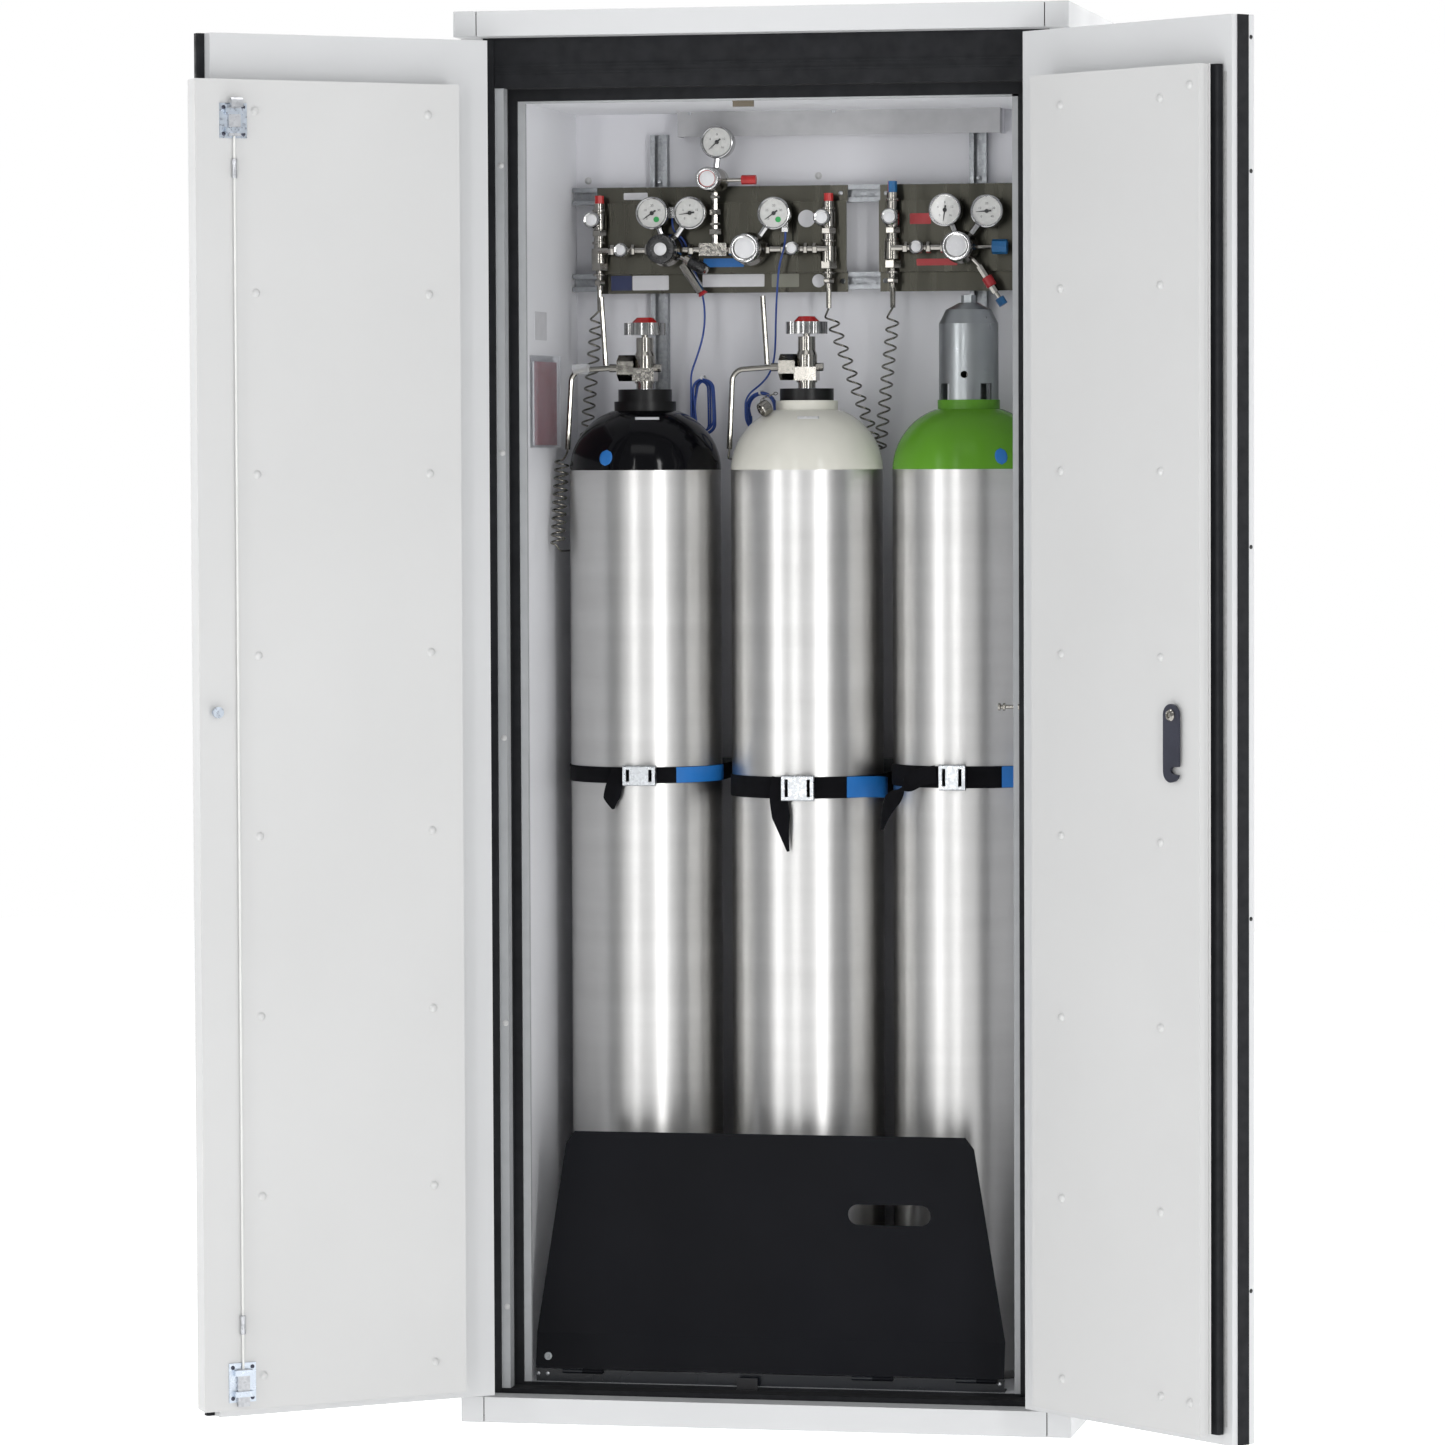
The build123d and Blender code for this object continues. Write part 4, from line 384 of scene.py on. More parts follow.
nodes_of = (
    (casing, "outer_casing"), (board_edge, "insulation_boards"), (liner, "inner_liner"), (trim_strip, "frame_trim"),
    (black_rubber, "frame_seal left_door_seals right_door_seals"), (keeper_plating, "latch_keepers"),
    (rear_panel, "rear_wall"), (rail_zinc, "mounting_rails"), (stainless, "station_plates"),
    (zinc, "exhaust_spigot levelling_feet hinge_frame_plates left_hinge_leaves right_hinge_leaves"),
    (zinc, "top_latch_bolt bottom_latch_bolt"), (nickel, "changeover_manifold single_manifold cylinder_valves"),
    (chrome, "pressure_gauges"), (cap_tones, "outlet_caps"), (guard_zinc, "valve_guard"),
    (brushed_cylinder("left_bottle", (0.002, 0.002, 0.003), 0.12), "cylinder_left"),
    (brushed_cylinder("middle_bottle", (0.63, 0.62, 0.56), 0.2), "cylinder_middle"),
    (brushed_cylinder("right_bottle", (0.10, 0.28, 0.022), 0.25), "cylinder_right"),
    (ring_colours(), "neck_rings"), (pipe_metal, "cylinder_pigtails"), (coil_metal, "pigtail_coils"),
    (cable_blue, "signal_cables cable_hank cable_ring"), (belt_black, "straps"), (buckle_zinc, "strap_buckles"),
    (pocket_clear, "document_pocket"), (base_black, "ramp_base"), (ramp_black, "ramp_plate"),
    (door_outside, "left_door_shell right_door_shell"), (door_inside, "left_door_panel right_door_panel"),
    (infill_white, "left_door_infill right_door_infill"), (blue_zinc, "latch_housings"), (cord_white, "latch_cord"),
    (hook_slate, "lock_hook"), (handle_black, "door_handle"), (wheel_finish(), "handwheel_left handwheel_middle"),
)
materials = {name: material for material, names in nodes_of for name in names.split()}

# Knobs: name, X, Z, depth of the face, radius, radius of the raised cap, radius of the light finish, and the
# radius and colour of a ring around that where there is one
knobs = [
    ("regulator_knob_left", -217.0, line_z, 350.3, 21.5, 9.0, 11.0, (17.5, (0.012, 0.012, 0.013))),
    ("regulator_knob_right", -88.6, line_z, 350.3, 21.5, 14.5, 15.0, None),
    ("regulator_knob_single", 231.0, line_z, 350.3, 21.5, 14.5, 15.0, None),
    ("regulator_knob_line", line_regulator_x, 1820.0, 340.3, 17.0, 11.5, 11.5, (15.5, (0.55, 0.02, 0.02))),
]
for side, purge_x, shutoff_x in (("left", -330.0, -283.0), ("right", 22.0, -22.0), ("single", 124.5, 166.5)):
    knobs.append((f"purge_knob_{side}", purge_x, 1762.0, 385.0, 12.0, 8.0, 9.0, None))
    knobs.append((f"shutoff_knob_{side}", shutoff_x, line_z, 375.0, 10.0, 6.5, 7.5, None))
for name, x, z, *_, inner, middle in knobs:
    materials[name] = knob_finish(name + "_finish", x, z, inner, middle)

for name, node in nodes.items():
    for slot in node.material_slots:
        slot.material = materials[name]


# Pieces


def dress(made, body):
    """Let a piece ride on its body."""
    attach(made, body)
    return made


def piece(name, shape, material, body="cabinet", smooth=True):
    """A mesh piece that rides on a body. The shape is a bmesh in metres in the row frame."""
    mesh = bpy.data.meshes.new(name)
    bmesh.ops.recalc_face_normals(shape, faces=shape.faces)
    shape.to_mesh(mesh)
    shape.free()
    mesh.materials.append(material)
    made = placed(name, mesh)
    if smooth:
        mesh.shade_smooth()
        mesh.set_sharp_from_angle(angle=radians(35))
    return dress(made, body)


def curve(name, points, radius, material, body="cabinet", steps=4):
    """A round wire, its radius in millimetres, along one open NURBS spline with control points in metres."""
    data = bpy.data.curves.new(name, "CURVE")
    data.dimensions = "3D"
    data.bevel_depth = radius / 1000
    data.bevel_resolution = 3
    data.resolution_u = steps
    data.use_fill_caps = True
    spline = data.splines.new("NURBS")
    spline.points.add(len(points) - 1)
    for point, place in zip(spline.points, points):
        point.co = (*place, 1)
    spline.order_u = 3
    spline.use_endpoint_u = True
    data.materials.append(material)
    return dress(placed(name, data), body)


def join(shape, low, high):
    """Faces between two rings of corners. A ring may be a single point."""
    for k in range(max(len(low), len(high))):
        corners = [low[k % len(low)], low[(k + 1) % len(low)], high[(k + 1) % len(high)], high[k % len(high)]]
        unique = list(dict.fromkeys(corners))
        if len(unique) > 2:
            shape.faces.new(unique)


def revolve(shape, outline, origin, axis, sides=32, closed=False):
    """Turn (radius, distance along the axis) pairs in millimetres about an axis through the origin."""
    axis = Vector(axis).normalized()
    across = axis.orthogonal().normalized()
    other = axis.cross(across)
    rings = []
    for radius, height in outline:
        centre = origin + axis * height / 1000
        spokes = [2 * pi * k / sides for k in range(sides)] if radius else [0]
        rings.append([
            shape.verts.new(centre + (across * cos(a) + other * sin(a)) * radius / 1000) for a in spokes
        ])
    for low, high in zip(rings, rings[1:] + (rings[:1] if closed else [])):
        join(shape, low, high)
    return shape


def turned(name, outline, origin, axis, material, body="cabinet", sides=32, closed=False):
    return piece(name, revolve(bmesh.new(), outline, origin, axis, sides, closed), material, body)


def slab(shape, corners, thick, way):
    """A flat plate with the given outline in metres, thickened by thick millimetres along a direction."""
    offset = Vector(way).normalized() * thick / 1000
    low = [shape.verts.new(corner) for corner in corners]
    high = [shape.verts.new(Vector(corner) + offset) for corner in corners]
    shape.faces.new(low)
    shape.faces.new(high[::-1])
    join(shape, low, high)
    return shape


def rounded(x, z, radius):
    """Corner points (x, z) of a rectangle with rounded corners."""
    low_x, high_x, low_z, high_z = x[0] + radius, x[1] - radius, z[0] + radius, z[1] - radius
    points = []
    for quarter, (cx, cz) in enumerate(((high_x, high_z), (low_x, high_z), (low_x, low_z), (high_x, low_z))):
        for k in range(5):
            a = radians(90 * quarter + 22.5 * k)
            points.append((cx + radius * cos(a), cz + radius * sin(a)))
    return points


def ribbon(name, path, width, thick, material, across=axis_z, point=0.0):
    """A flat belt along points in metres. Over the last share of them, point, it narrows to its tip."""
    shape = bmesh.new()
    profile = ((-0.5, -0.3), (-0.42, -0.5), (0.42, -0.5), (0.5, -0.3))
    profile += tuple((-u, -v) for u, v in profile)
    rows = []
    for index, centre in enumerate(path):
        before = path[max(index - 1, 0)]
        after = path[min(index + 1, len(path) - 1)]
        along = (after - before).normalized()
        out = along.cross(across).normalized()
        side = out.cross(along).normalized()
        share = index / (len(path) - 1)
        wide = width * (1 - 0.85 * max(0.0, share - 1 + point) / point) if point else width
        rows.append([shape.verts.new(centre + side * u * wide / 1000 + out * v * thick / 1000) for u, v in profile])
    for low, high in zip(rows, rows[1:]):
        join(shape, low, high)
    shape.faces.new(rows[0])
    shape.faces.new(rows[-1][::-1])
    return piece(name, shape, material)


# Cords


def wind(route, half, low, high, pitch, loops):
    """Control points of a cable's free stretch and of the loops that follow it.

    Each loop is (half width at the foot, half width at the head, how far its foot hangs down, its shift to
    the right), in millimetres. Half is the half width of the whole hank, low and high are its bends' heights.
    """
    points = [at(*place) for place in route]
    x, d, _ = route[-1]
    steps = 8
    for foot, head, drop, shift in loops:
        for reach, level, start in ((foot, low - drop, 1), (head, high, 0)):
            middle = x + half + shift
            for step in range(steps + 1):
                a = pi * (start + step / steps)
                points.append(at(middle + reach * cos(a), d + pitch * step / steps, level + reach * sin(a)))
            d += pitch
    points.append(at(x + half - foot + 1, d, low))
    return points


left_route = [
    (-208.6, 400, 1764), (-208.6, 400, 1752), (-205.5, 405.5, 1741.5), (-193.5, 410.5, 1733),
    (-187.5, 412.5, 1716), (-180, 414, 1690), (-170, 413, 1667), (-162.5, 410, 1641), (-160, 406, 1613),
    (-162.5, 402, 1585), (-170.5, 398, 1557), (-179.5, 393.5, 1531), (-179.5, 393.5, 1513),
]
right_route = [
    (-33.5, 389, 1741), (-33.5, 389, 1729), (-37, 389.5, 1712), (-43, 389, 1693), (-46.5, 393, 1666),
    (-49, 397, 1638), (-50.5, 399, 1609), (-51, 399.5, 1579), (-52.5, 397, 1551), (-59, 394, 1529),
    (-73, 392, 1512.5), (-88, 390, 1502), (-95.5, 389, 1489), (-95.5, 389, 1478),
]
left_loops = ((17, 15, 4, 0), (13.5, 12.5, 10, 4), (14.5, 13.5, 8, -3), (12.5, 11.5, 11, -5), (16.5, 14, 9, 1))
right_loops = ((23, 22, 1, 0), (20.5, 21, 3, -1), (22.5, 20, 0, 1), (21, 23, 2, -1), (19.5, 21.5, 1, 0))
loop_pitch = 1.8
left_points = wind(left_route, 17, 1465, 1507, loop_pitch, left_loops)
right_points = wind(right_route, 23, 1466.5, 1479, loop_pitch, right_loops)
left_cable = curve("left_signal_cable", left_points, wire_r, cable_blue)
right_cable = curve("right_signal_cable", right_points, wire_r, cable_blue)
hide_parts("signal_cables", "cable_hank")
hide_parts("cable_ring")
plug = [(0, 0), (2.4, 0), (2.6, 1.5), (2.6, 11), (2.0, 13), (2.0, 17), (0, 17)]
connectors = [
    turned(f"{side}_cable_connector", plug, points[-1], -axis_z, blue_plastic, sides=16)
    for side, points in (("left", left_points), ("right", right_points))
]


# Taut cord between the two bolts of the left leaf, with its crimped ferrules

cord_low, cord_high = (Vector(corner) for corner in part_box("latch_cord"))
cord_axis = (cord_low + cord_high) / 2
cord_points = [Vector((cord_axis.x, cord_axis.y, z)) for z in (cord_low.z, 0.45, 1.0, 1.55, cord_high.z)]
latch_cord = curve("latch_cord_line", cord_points, 1.75, cord_white, "left_door")
crimped = [(0, 0), (3.3, 0), (3.9, 0.8), (4.0, 5), (3.5, 7), (3.5, 20), (4.0, 22), (3.9, 26.2), (3.3, 27), (0, 27)]
ferrules = [
    turned(name, crimped, Vector((cord_axis.x, cord_axis.y, foot)), axis_z, zinc, "left_door", 20)
    for name, foot in (("ferrule_low", 0.1695), ("ferrule_high", 1.799))
]
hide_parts("latch_cord")


# Wound pigtails


def helix(axis, radius, halves, start_degrees):
    """Points of a level winding between two places; halves is its number of half turns."""
    first, last = (at(*place) for place in axis)
    steps = 8
    count = halves * steps
    points = []
    for k in range(count + 1):
        a = radians(start_degrees) + pi * k / steps
        spoke = Vector((cos(a), sin(a), 0)) * radius / 1000
        points.append(first.lerp(last, k / count) + spoke)
    return points


left_front = helix(((-357, 296, 1402), (-357, 264, 1276)), 10, 21, 90)
left_back = helix(((-326, 402, 1614), (-342, 400, 1440)), 9, 20, 180)
left_wire = [at(-351, bottle_d, 1417), at(-351.3, 308, 1412), *left_front]
left_wire += [at(*place) for place in (
    (-354, 263, 1267), (-350.5, 270, 1266), (-350.5, 300, 1266), (-350.5, 350, 1266), (-350.5, 378, 1266),
    (-351, 390, 1270), (-351, 391, 1285), (-351, 391, 1340), (-351, 391, 1400), (-351, 391, 1425),
)]
left_wire += [*left_back[::-1], at(-328, 408, 1621), at(columns_x[0], column_d, 1627)]
middle_wire = [at(columns_x[1], column_d, 1627), at(26, 408, 1621)]
middle_wire += helix(((33, 402, 1614), (103.5, 396, 1418)), 9, 21, 180)
behind_bottle = 121
for degrees in (*range(60, 151, 15), 162, 172):
    a = radians(degrees)
    x, d = bottles_x[1] + behind_bottle * cos(a), bottle_d + behind_bottle * sin(a)
    middle_wire.append(at(x, d, 1402))
middle_wire += [at(-106.5, 311, 1403), at(-105.2, 308.6, 1409), at(-104.5, bottle_d, 1417)]
right_wire = [at(columns_x[2], column_d, 1627), at(122, 407, 1621)]
right_wire += helix(((127, 404, 1613), (102, 428, 1412)), 9, 22, 180)
right_wire += [at(93, 420, 1403), at(93, 419, 1396)]
for side, points in (("left", left_wire), ("middle", middle_wire), ("right", right_wire)):
    wire = curve(f"{side}_coil_wire", points, wire_r, coil_metal)
    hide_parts("pigtail_coils")


# Straps, their tails and their blue ends

strap_heights = ((923.9, 947.9), (903.0, 935.0), (920.0, 952.0))
webbing_thick = 1.8
for index, (x, (low, high)) in enumerate(zip(bottles_x, strap_heights)):
    middle_z = (low + high) / 2
    radius = 114.3
    path = [at(x - radius, 439.5, middle_z), at(x - radius, 375, middle_z)]
    for k in range(33):
        a = pi + pi * k / 32
        path.append(at(x + radius * cos(a), bottle_d + radius * sin(a), middle_z))
    path += [at(x + radius, 375, middle_z), at(x + radius, 439.5, middle_z)]
    belt = ribbon(f"belt_{index}", path, high - low, webbing_thick, belt_black)
    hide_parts("straps")
for name, width, tip, across, *places in (
    ("left_tail", 25, 0.25, axis_x, (-248, 191.6, 944), (-252, 189.5, 932), (-258, 187.5, 915), (-261, 189, 898),
     (-258, 191, 886)),
    ("middle_tail", 27, 0.45, axis_x, (-6, 191.0, 934), (-10, 186, 912), (-5, 180, 882), (1, 179, 850),
     (6, 183, 826)),
    ("right_tail", 26, 0.35, Vector((0.75, 0, 0.66)), (225, 191.5, 941), (205, 189, 938), (180, 189, 925),
     (160, 193, 905), (148, 198, 880), (143, 200, 858)),
):
    guide = curve(name + "_guide", [at(*place) for place in places], 0, belt_black, steps=8)
    line = [vertex.co.copy() for vertex in bpy.data.meshes.new_from_object(guide).vertices]
    bpy.data.objects.remove(guide)
    ribbon(name, line, width, webbing_thick, belt_black, across, tip)

# Each blue end runs between two angles from the front, and may sag away from its belt
for index, (start, end, sag) in enumerate(((34, 92, 0), (40, 97, 6), (33, 75, 0))):
    x, (low, high) = bottles_x[index], strap_heights[index]
    line = []
    for k in range(25):
        share = k / 24
        a = radians(-90 + start + (end - start) * share)
        radius = 115.8 + sag * max(0, share - 0.6)
        z = (low + high) / 2 - sag * share * share
        line.append(at(x + radius * cos(a), bottle_d + radius * sin(a), z))
    ribbon(f"printed_end_{index}", line, high - low - 1, 0.7, blue_print)


# Gauges, each (X, Z, degrees of its pointer, whether it has a green patch): dial, marks, figures, pointer, bezel

gauges = (
    (-236.0, 1771.0, 214, True), (-178.0, 1770.6, 188, False), (-50.0, 1768.9, 215, True),
    (209.0, 1770.8, 262, False), (272.0, 1768.5, 184, False), (-136.0, 1876.0, 222, False),
)
divisions = 40


def dial_degrees(step):
    return 225 - 270 * step / divisions


def polar(x, z, radius, degrees, d):
    a = radians(degrees)
    return at(x + radius * cos(a), d, z + radius * sin(a))


def dial_marks(x, z):
    """Scale marks over three quarters of a turn, every fifth one longer and wider."""
    shape = bmesh.new()
    outer = 18.6
    for step in range(divisions + 1):
        degrees = dial_degrees(step)
        inner, wide = (14.6, 0.75) if step % 5 == 0 else (16.6, 0.35)
        turn = wide / 32 * 180 / pi
        ends = ((inner, -turn), (outer, -turn), (outer, turn), (inner, turn))
        slab(shape, [polar(x, z, radius, degrees + t, 382.7) for radius, t in ends], 0.15, -axis_y)
    return shape


dial = [(0, 0.5), (20.8, 0.5), (21.3, 0.1), (21.3, -0.2), (0, -0.2)]
bezel = [(21.6, -0.3), (21.9, 0.6), (23.0, 1.3), (24.1, 0.9), (24.6, 0.0), (24.6, -9.0), (24.1, -9.0), (24.1, -0.4)]
for index, (x, z, pointing, green) in enumerate(gauges):
    turned(f"dial_{index}", dial, at(x, 383, z), -axis_y, dial_white, sides=48)
    piece(f"dial_marks_{index}", dial_marks(x, z), dial_black, smooth=False)
    needle = bmesh.new()
    tip = polar(x, z, 16.5, pointing, 381.4)
    tail = polar(x, z, -7.0, pointing, 381.4)
    side = (tip - tail).normalized().cross(axis_y)
    sharp, blunt = side * 0.0003, side * 0.0013
    slab(needle, [tip - sharp, tip + sharp, tail + blunt, tail - blunt], 0.5, -axis_y)
    revolve(needle, [(0, 0), (3.1, 0), (3.1, 1.2), (2.4, 1.6), (0, 1.6)], at(x, 381.9, z), -axis_y, 20)
    piece(f"pointer_{index}", needle, dial_black, smooth=False)
    for step in range(0, divisions + 1, 10):
        data = bpy.data.curves.new(f"figure_{index}_{step}", "FONT")
        data.body = str(step // 10 * (4 if index % 2 else 10))
        data.size = 0.0048
        data.extrude = 0.00008
        data.align_x = data.align_y = "CENTER"
        data.materials.append(dial_black)
        figure = placed(f"figure_{index}_{step}", data)
        figure.location = polar(x, z, 11.4, dial_degrees(step), 382.35)
        figure.rotation_euler = (pi / 2, 0, 0)
        dress(figure, "cabinet")
    if green:
        patch = [(0, 0.3), (4.2, 0.3), (4.4, 0.0), (0, 0.0)]
        turned(f"green_patch_{index}", patch, polar(x, z, 11.5, 305, 382.3), -axis_y, green_print, sides=20)
    turned(f"bezel_{index}", bezel, at(x, 380, z), -axis_y, chrome, sides=56, closed=True)


# Knobs: domed cap, plated rim and grip notches


def knob_face(name, x, z, face, radius, cap_r, rim_material):
    """Domed cap in the middle of a knob and a rounded rim around it."""
    dome = [(0, 1.6), (cap_r * 0.55, 1.4), (cap_r * 0.85, 1.0), (cap_r, 0.3), (cap_r, 0), (0, 0)]
    turned(name + "_cap", dome, at(x, face, z), -axis_y, cap_white, name)
    outer = radius + 0.5
    rim = [
        (cap_r + 0.6, 0), (cap_r + 0.9, 1.0), (radius * 0.82 + 1, 1.8), (radius - 0.6, 1.4), (outer, 0.2),
        (outer, -3.2), (radius + 0.1, -3.4), (radius + 0.1, -0.1),
    ]
    turned(name + "_rim", rim, at(x, face, z), -axis_y, rim_material, name, 40, True)
    notches = bmesh.new()
    count = 28 if radius > 15 else 18
    for k in range(count):
        a = 2 * pi * k / count
        out = Vector((cos(a), 0, sin(a)))
        along = Vector((-sin(a), 0, cos(a)))
        base = at(x, face, z) + out * (radius + 0.05) / 1000
        half = along * 0.28 * pi * radius / count / 1000
        near, far = axis_y * 0.0042, axis_y * 0.0098
        slab(notches, [base + half + near, base - half + near, base - half + far, base + half + far], 0.45, out)
    piece(name + "_grip", notches, chrome, name, smooth=False)


for name, x, z, face, radius, cap_r, *_ in knobs:
    knob_face(name, x, z, face, radius, cap_r, rim_black if name == "regulator_knob_left" else chrome)


# Nuts, collars and sleeves on the stations


def collar(shape, place, axis, radius, bore, long, sides=6):
    """A nut or ring around a pipe, its corners eased."""
    ease = min(0.8, long / 4)
    chamfer = radius * 0.93
    outline = [(bore, 0), (chamfer, 0), (radius, ease), (radius, long - ease), (chamfer, long), (bore, long)]
    revolve(shape, outline, place, axis, sides, True)


def eased_rod(name, start, end, radius, material, ease=1.2):
    """A sleeve or cap over a fitting, rounded at both rims."""
    way = end - start
    long = way.length * 1000
    outline = [(0, 0), (radius - ease, 0), (radius, ease), (radius, long - ease), (radius - ease, long), (0, long)]
    turned(name, outline, start, way, material, sides=28)


nuts = bmesh.new()
for x, top in zip(columns_x, (1787.0, 1787.0, 1799.0)):
    for z, radius, bore, long, sides in (
        (1664, 8.6, 4.2, 8, 6), (1678, 9.5, 5, 4, 28), (1686, 13.2, 8, 12, 6), (1726, 11.5, 8.4, 4, 28),
        (1738, 11.8, 8.4, 9, 6), (top - 13, 10.8, 8.4, 4, 28), (1748, 10.6, 8.4, 24, 28), (1699, 10.6, 8.4, 10, 28),
    ):
        collar(nuts, at(x, column_d, z), axis_z, radius, bore, long, sides)
for x, long in (
    (-306, 8), (-272, 6), (-250, 7), (-184, 8), (-122, 6), (-66, 7), (-42, 6), (-8, 6), (6, 7), (143, 7), (178, 7),
    (200, 6),
):
    collar(nuts, at(x, 400, line_z), axis_x, 8.8, 5.2, long)
for z, radius, long in ((1738, 10.0, 9), (1752, 8.5, 4), (1768, 9.5, 8), (1792, 8.0, 5)):
    collar(nuts, at(line_regulator_x, 400, z), axis_z, radius, 6.2, long)
piece("station_nuts", nuts, nickel)

plate_trim = bmesh.new()
for low, high in ((-314, 34), (111, 339)):
    for x, z in (
        ((low, high), (1786.2, 1787.4)), ((low, high), (1681.4, 1682.6)), ((low, low + 1.2), (1682, 1787)),
        ((high - 1.2, high), (1682, 1787)),
    ):
        slab(plate_trim, [at(px, 425.9, pz) for px, pz in rounded(x, z, 0.4)], 0.7, -axis_y)
piece("raised_plate_edges", plate_trim, stainless, smooth=False)

boot = [(0, 0), (6.9, 0), (8.4, 1.5), (8.8, 12), (9.2, 22), (8.2, 27), (4.5, 29.5), (0, 30)]
turned("drain_boot", boot, at(-181, 390, 1698.5), (31, 0, -16.5), rim_black)
eased_rod("clear_sleeve", at(-186.5, 398, 1686), at(-167, 398, 1658.5), 7.6, clear_plastic)
red_tip = [(0, 0), (4.0, 0), (4.4, 5), (7.2, 9), (7.6, 10.5), (5.2, 11), (0, 9)]
turned("red_drain_tip", red_tip, at(-166.5, 398, 1657.8), (3.5, 0, -5.8), red_plastic)
eased_rod("red_relief_band", at(268.6, 400, 1671.5), at(277.2, 400, 1657.5), 7.9, red_plastic)


# Bare labels

for name, x, z, d, material in (
    ("upper_left_label", (-291, -254), (1793.5, 1804), plate_d, white_paper),
    ("middle_strip", (-166, -104), (1690.5, 1703.5), raised_d, blue_print),
    ("lower_left_label_blue", (-311, -279), (1657, 1679), plate_d, navy_print),
    ("lower_left_label", (-278, -222), (1657, 1679), plate_d, white_paper),
    ("warning_strip", (-170, -75), (1661, 1680), plate_d, white_paper),
    ("red_upper_label", (149, 181), (1752, 1768), raised_d, red_plastic),
    ("red_lower_label", (159, 221), (1690, 1700), raised_d, red_plastic),
    ("cream_panel", (-64, -22), (1660, 1680), plate_d, dim_print),
):
    corners = [at(px, d, pz) for px, pz in rounded(x, z, 1.5)]
    piece(name, slab(bmesh.new(), corners, 0.4, -axis_y), material, smooth=False)
for name, x, z, d, radius in (
    ("round_label_a", -8, 1762, raised_d, 13), ("round_label_b", 8, 1669, plate_d, 10),
):
    disc = [(0, 0.5), (radius - 0.3, 0.5), (radius, 0.2), (radius, 0), (0, 0)]
    turned(name, disc, at(x, d, z), -axis_y, white_paper, sides=40)


# Cap nuts, screws and covers


def dome_cap(shape, place, way, radius, high):
    """Moulded cap: a flat brim and a dome with a small flat on top."""
    outline = [
        (0, high), (radius * 0.35, high * 0.98), (radius * 0.6, high * 0.82), (radius * 0.8, high * 0.5),
        (radius * 0.88, high * 0.25), (radius, high * 0.2), (radius, 0), (0, 0),
    ]
    revolve(shape, outline, place, way, 24)


def studs(name, kind, places, way, radius, high, material, body="cabinet"):
    """Caps or screws of one size, joined in one piece."""
    shape = bmesh.new()
    for place in places:
        kind(shape, place, way, radius, high)
    piece(name, shape, material, body)


def swing(side, point, turn_only=False):
    """A closed-door point or direction, turned to the open pose: side is -1 for the left leaf, 1 for the right."""
    pivot = at(side * 431.26, -7.17, 0)
    turn = Matrix.Rotation(radians(-141.23 if side < 0 else 139.06), 3, "Z")
    return turn @ point if turn_only else pivot + turn @ (point - pivot)


for side, body, places in (
    (-1, "left_door", [(x, 108 + 255.1 * k) for x in (-64, -332) for k in range(8)]),
    (1, "right_door", [(x, 108 + 255.1 * k) for x in (317.5, 109.5) for k in range(8)] + [(50, 1909), (50, 105.6)]),
):
    swung = [swing(side, at(x, 83.55, z)) for x, z in places]
    studs(f"{body}_caps", dome_cap, swung, swing(side, axis_y, True), 6.4, 3.4, white_plastic, body)

# Hook plate of the lock: a half circle at the top, a quarter at the foot, then the hook's mouth
hook_outline = []
for centre_z, start, count in ((1050.0, 0, 17), (973.0, 180, 9)):
    for step in range(count):
        a = radians(start + 11.25 * step)
        hook_outline.append((80 + 15.5 * cos(a), centre_z + 15.5 * sin(a)))
hook_outline += [
    (88, 959.5), (93.5, 964), (95.2, 968.5), (84, 969.5), (79.5, 973), (80.5, 977.5), (85, 979.5), (95.5, 979.5),
]
corners = [swing(1, at(160 - x, 88, z)) for x, z in hook_outline]
hook = slab(bmesh.new(), corners, 4, swing(1, axis_y, True))
hook_plate = piece("lock_hook_plate", hook, hook_slate, "lock", smooth=False)
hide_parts("lock_hook")
spindle = [
    (0, 0), (5, 0), (5, 112.8), (11.5, 112.8), (11.5, 117), (5, 117), (5, 121), (8.5, 121), (8.5, 122), (7, 124),
    (4, 124.6), (3.4, 122.8), (0, 122.8),
]
turned("lock_spindle", spindle, swing(1, at(80, -29, 1050)), swing(1, axis_y, True), nickel, "lock", 28)

# Black domed caps on the edge flange of the right leaf: painted shade standing in for the dark of its holes
hole_shade_places = [at(*place) for place in (
    (740.5, -293.6, 1974.6), (740.5, -293.6, 1792.6), (740.3, -293.8, 1280.0), (740.2, -293.9, 770.2),
    (740.1, -294.1, 257.8),
)]
studs("edge_hole_shade_caps", dome_cap, hole_shade_places, (0.755, -0.655, 0), 3.0, 1.0, rim_black, "right_door")

frame_places = [at(-389.5, 47, z) for z in (1829.5, 1412.3, 997.2, 580.1, 164.0)]
studs("frame_caps", dome_cap, frame_places, -axis_y, 4.4, 2.2, white_plastic)

# The doorway's right edge stands 9 mm further in than its left edge
foot, head = 44.2, 1940.8
for name, low, high, near, far, material in (
    ("rebate_seal_right", 363.2, 374.2, 86, 90.4, black_rubber),
    ("ring_edge_right", 354.2, 363.2, 90, 95, trim_strip),
):
    corners = [at(x, near, z) for x, z in ((low, foot), (high, foot), (high, head), (low, head))]
    piece(name, slab(bmesh.new(), corners, far - near, axis_y), material, smooth=False)

board_places = (at(-354, 476, 1824.6), at(1.4, 476, 1828))
studs("board_caps", dome_cap, board_places, -axis_y, 5.5, 2.8, white_plastic)


def screw(shape, place, way, radius, high):
    """Pan head with a sunk round recess."""
    outline = [
        (0, high * 0.35), (radius * 0.28, high * 0.35), (radius * 0.36, high), (radius * 0.7, high * 0.86),
        (radius, high * 0.3), (radius, 0), (0, 0),
    ]
    revolve(shape, outline, place, way, 20)


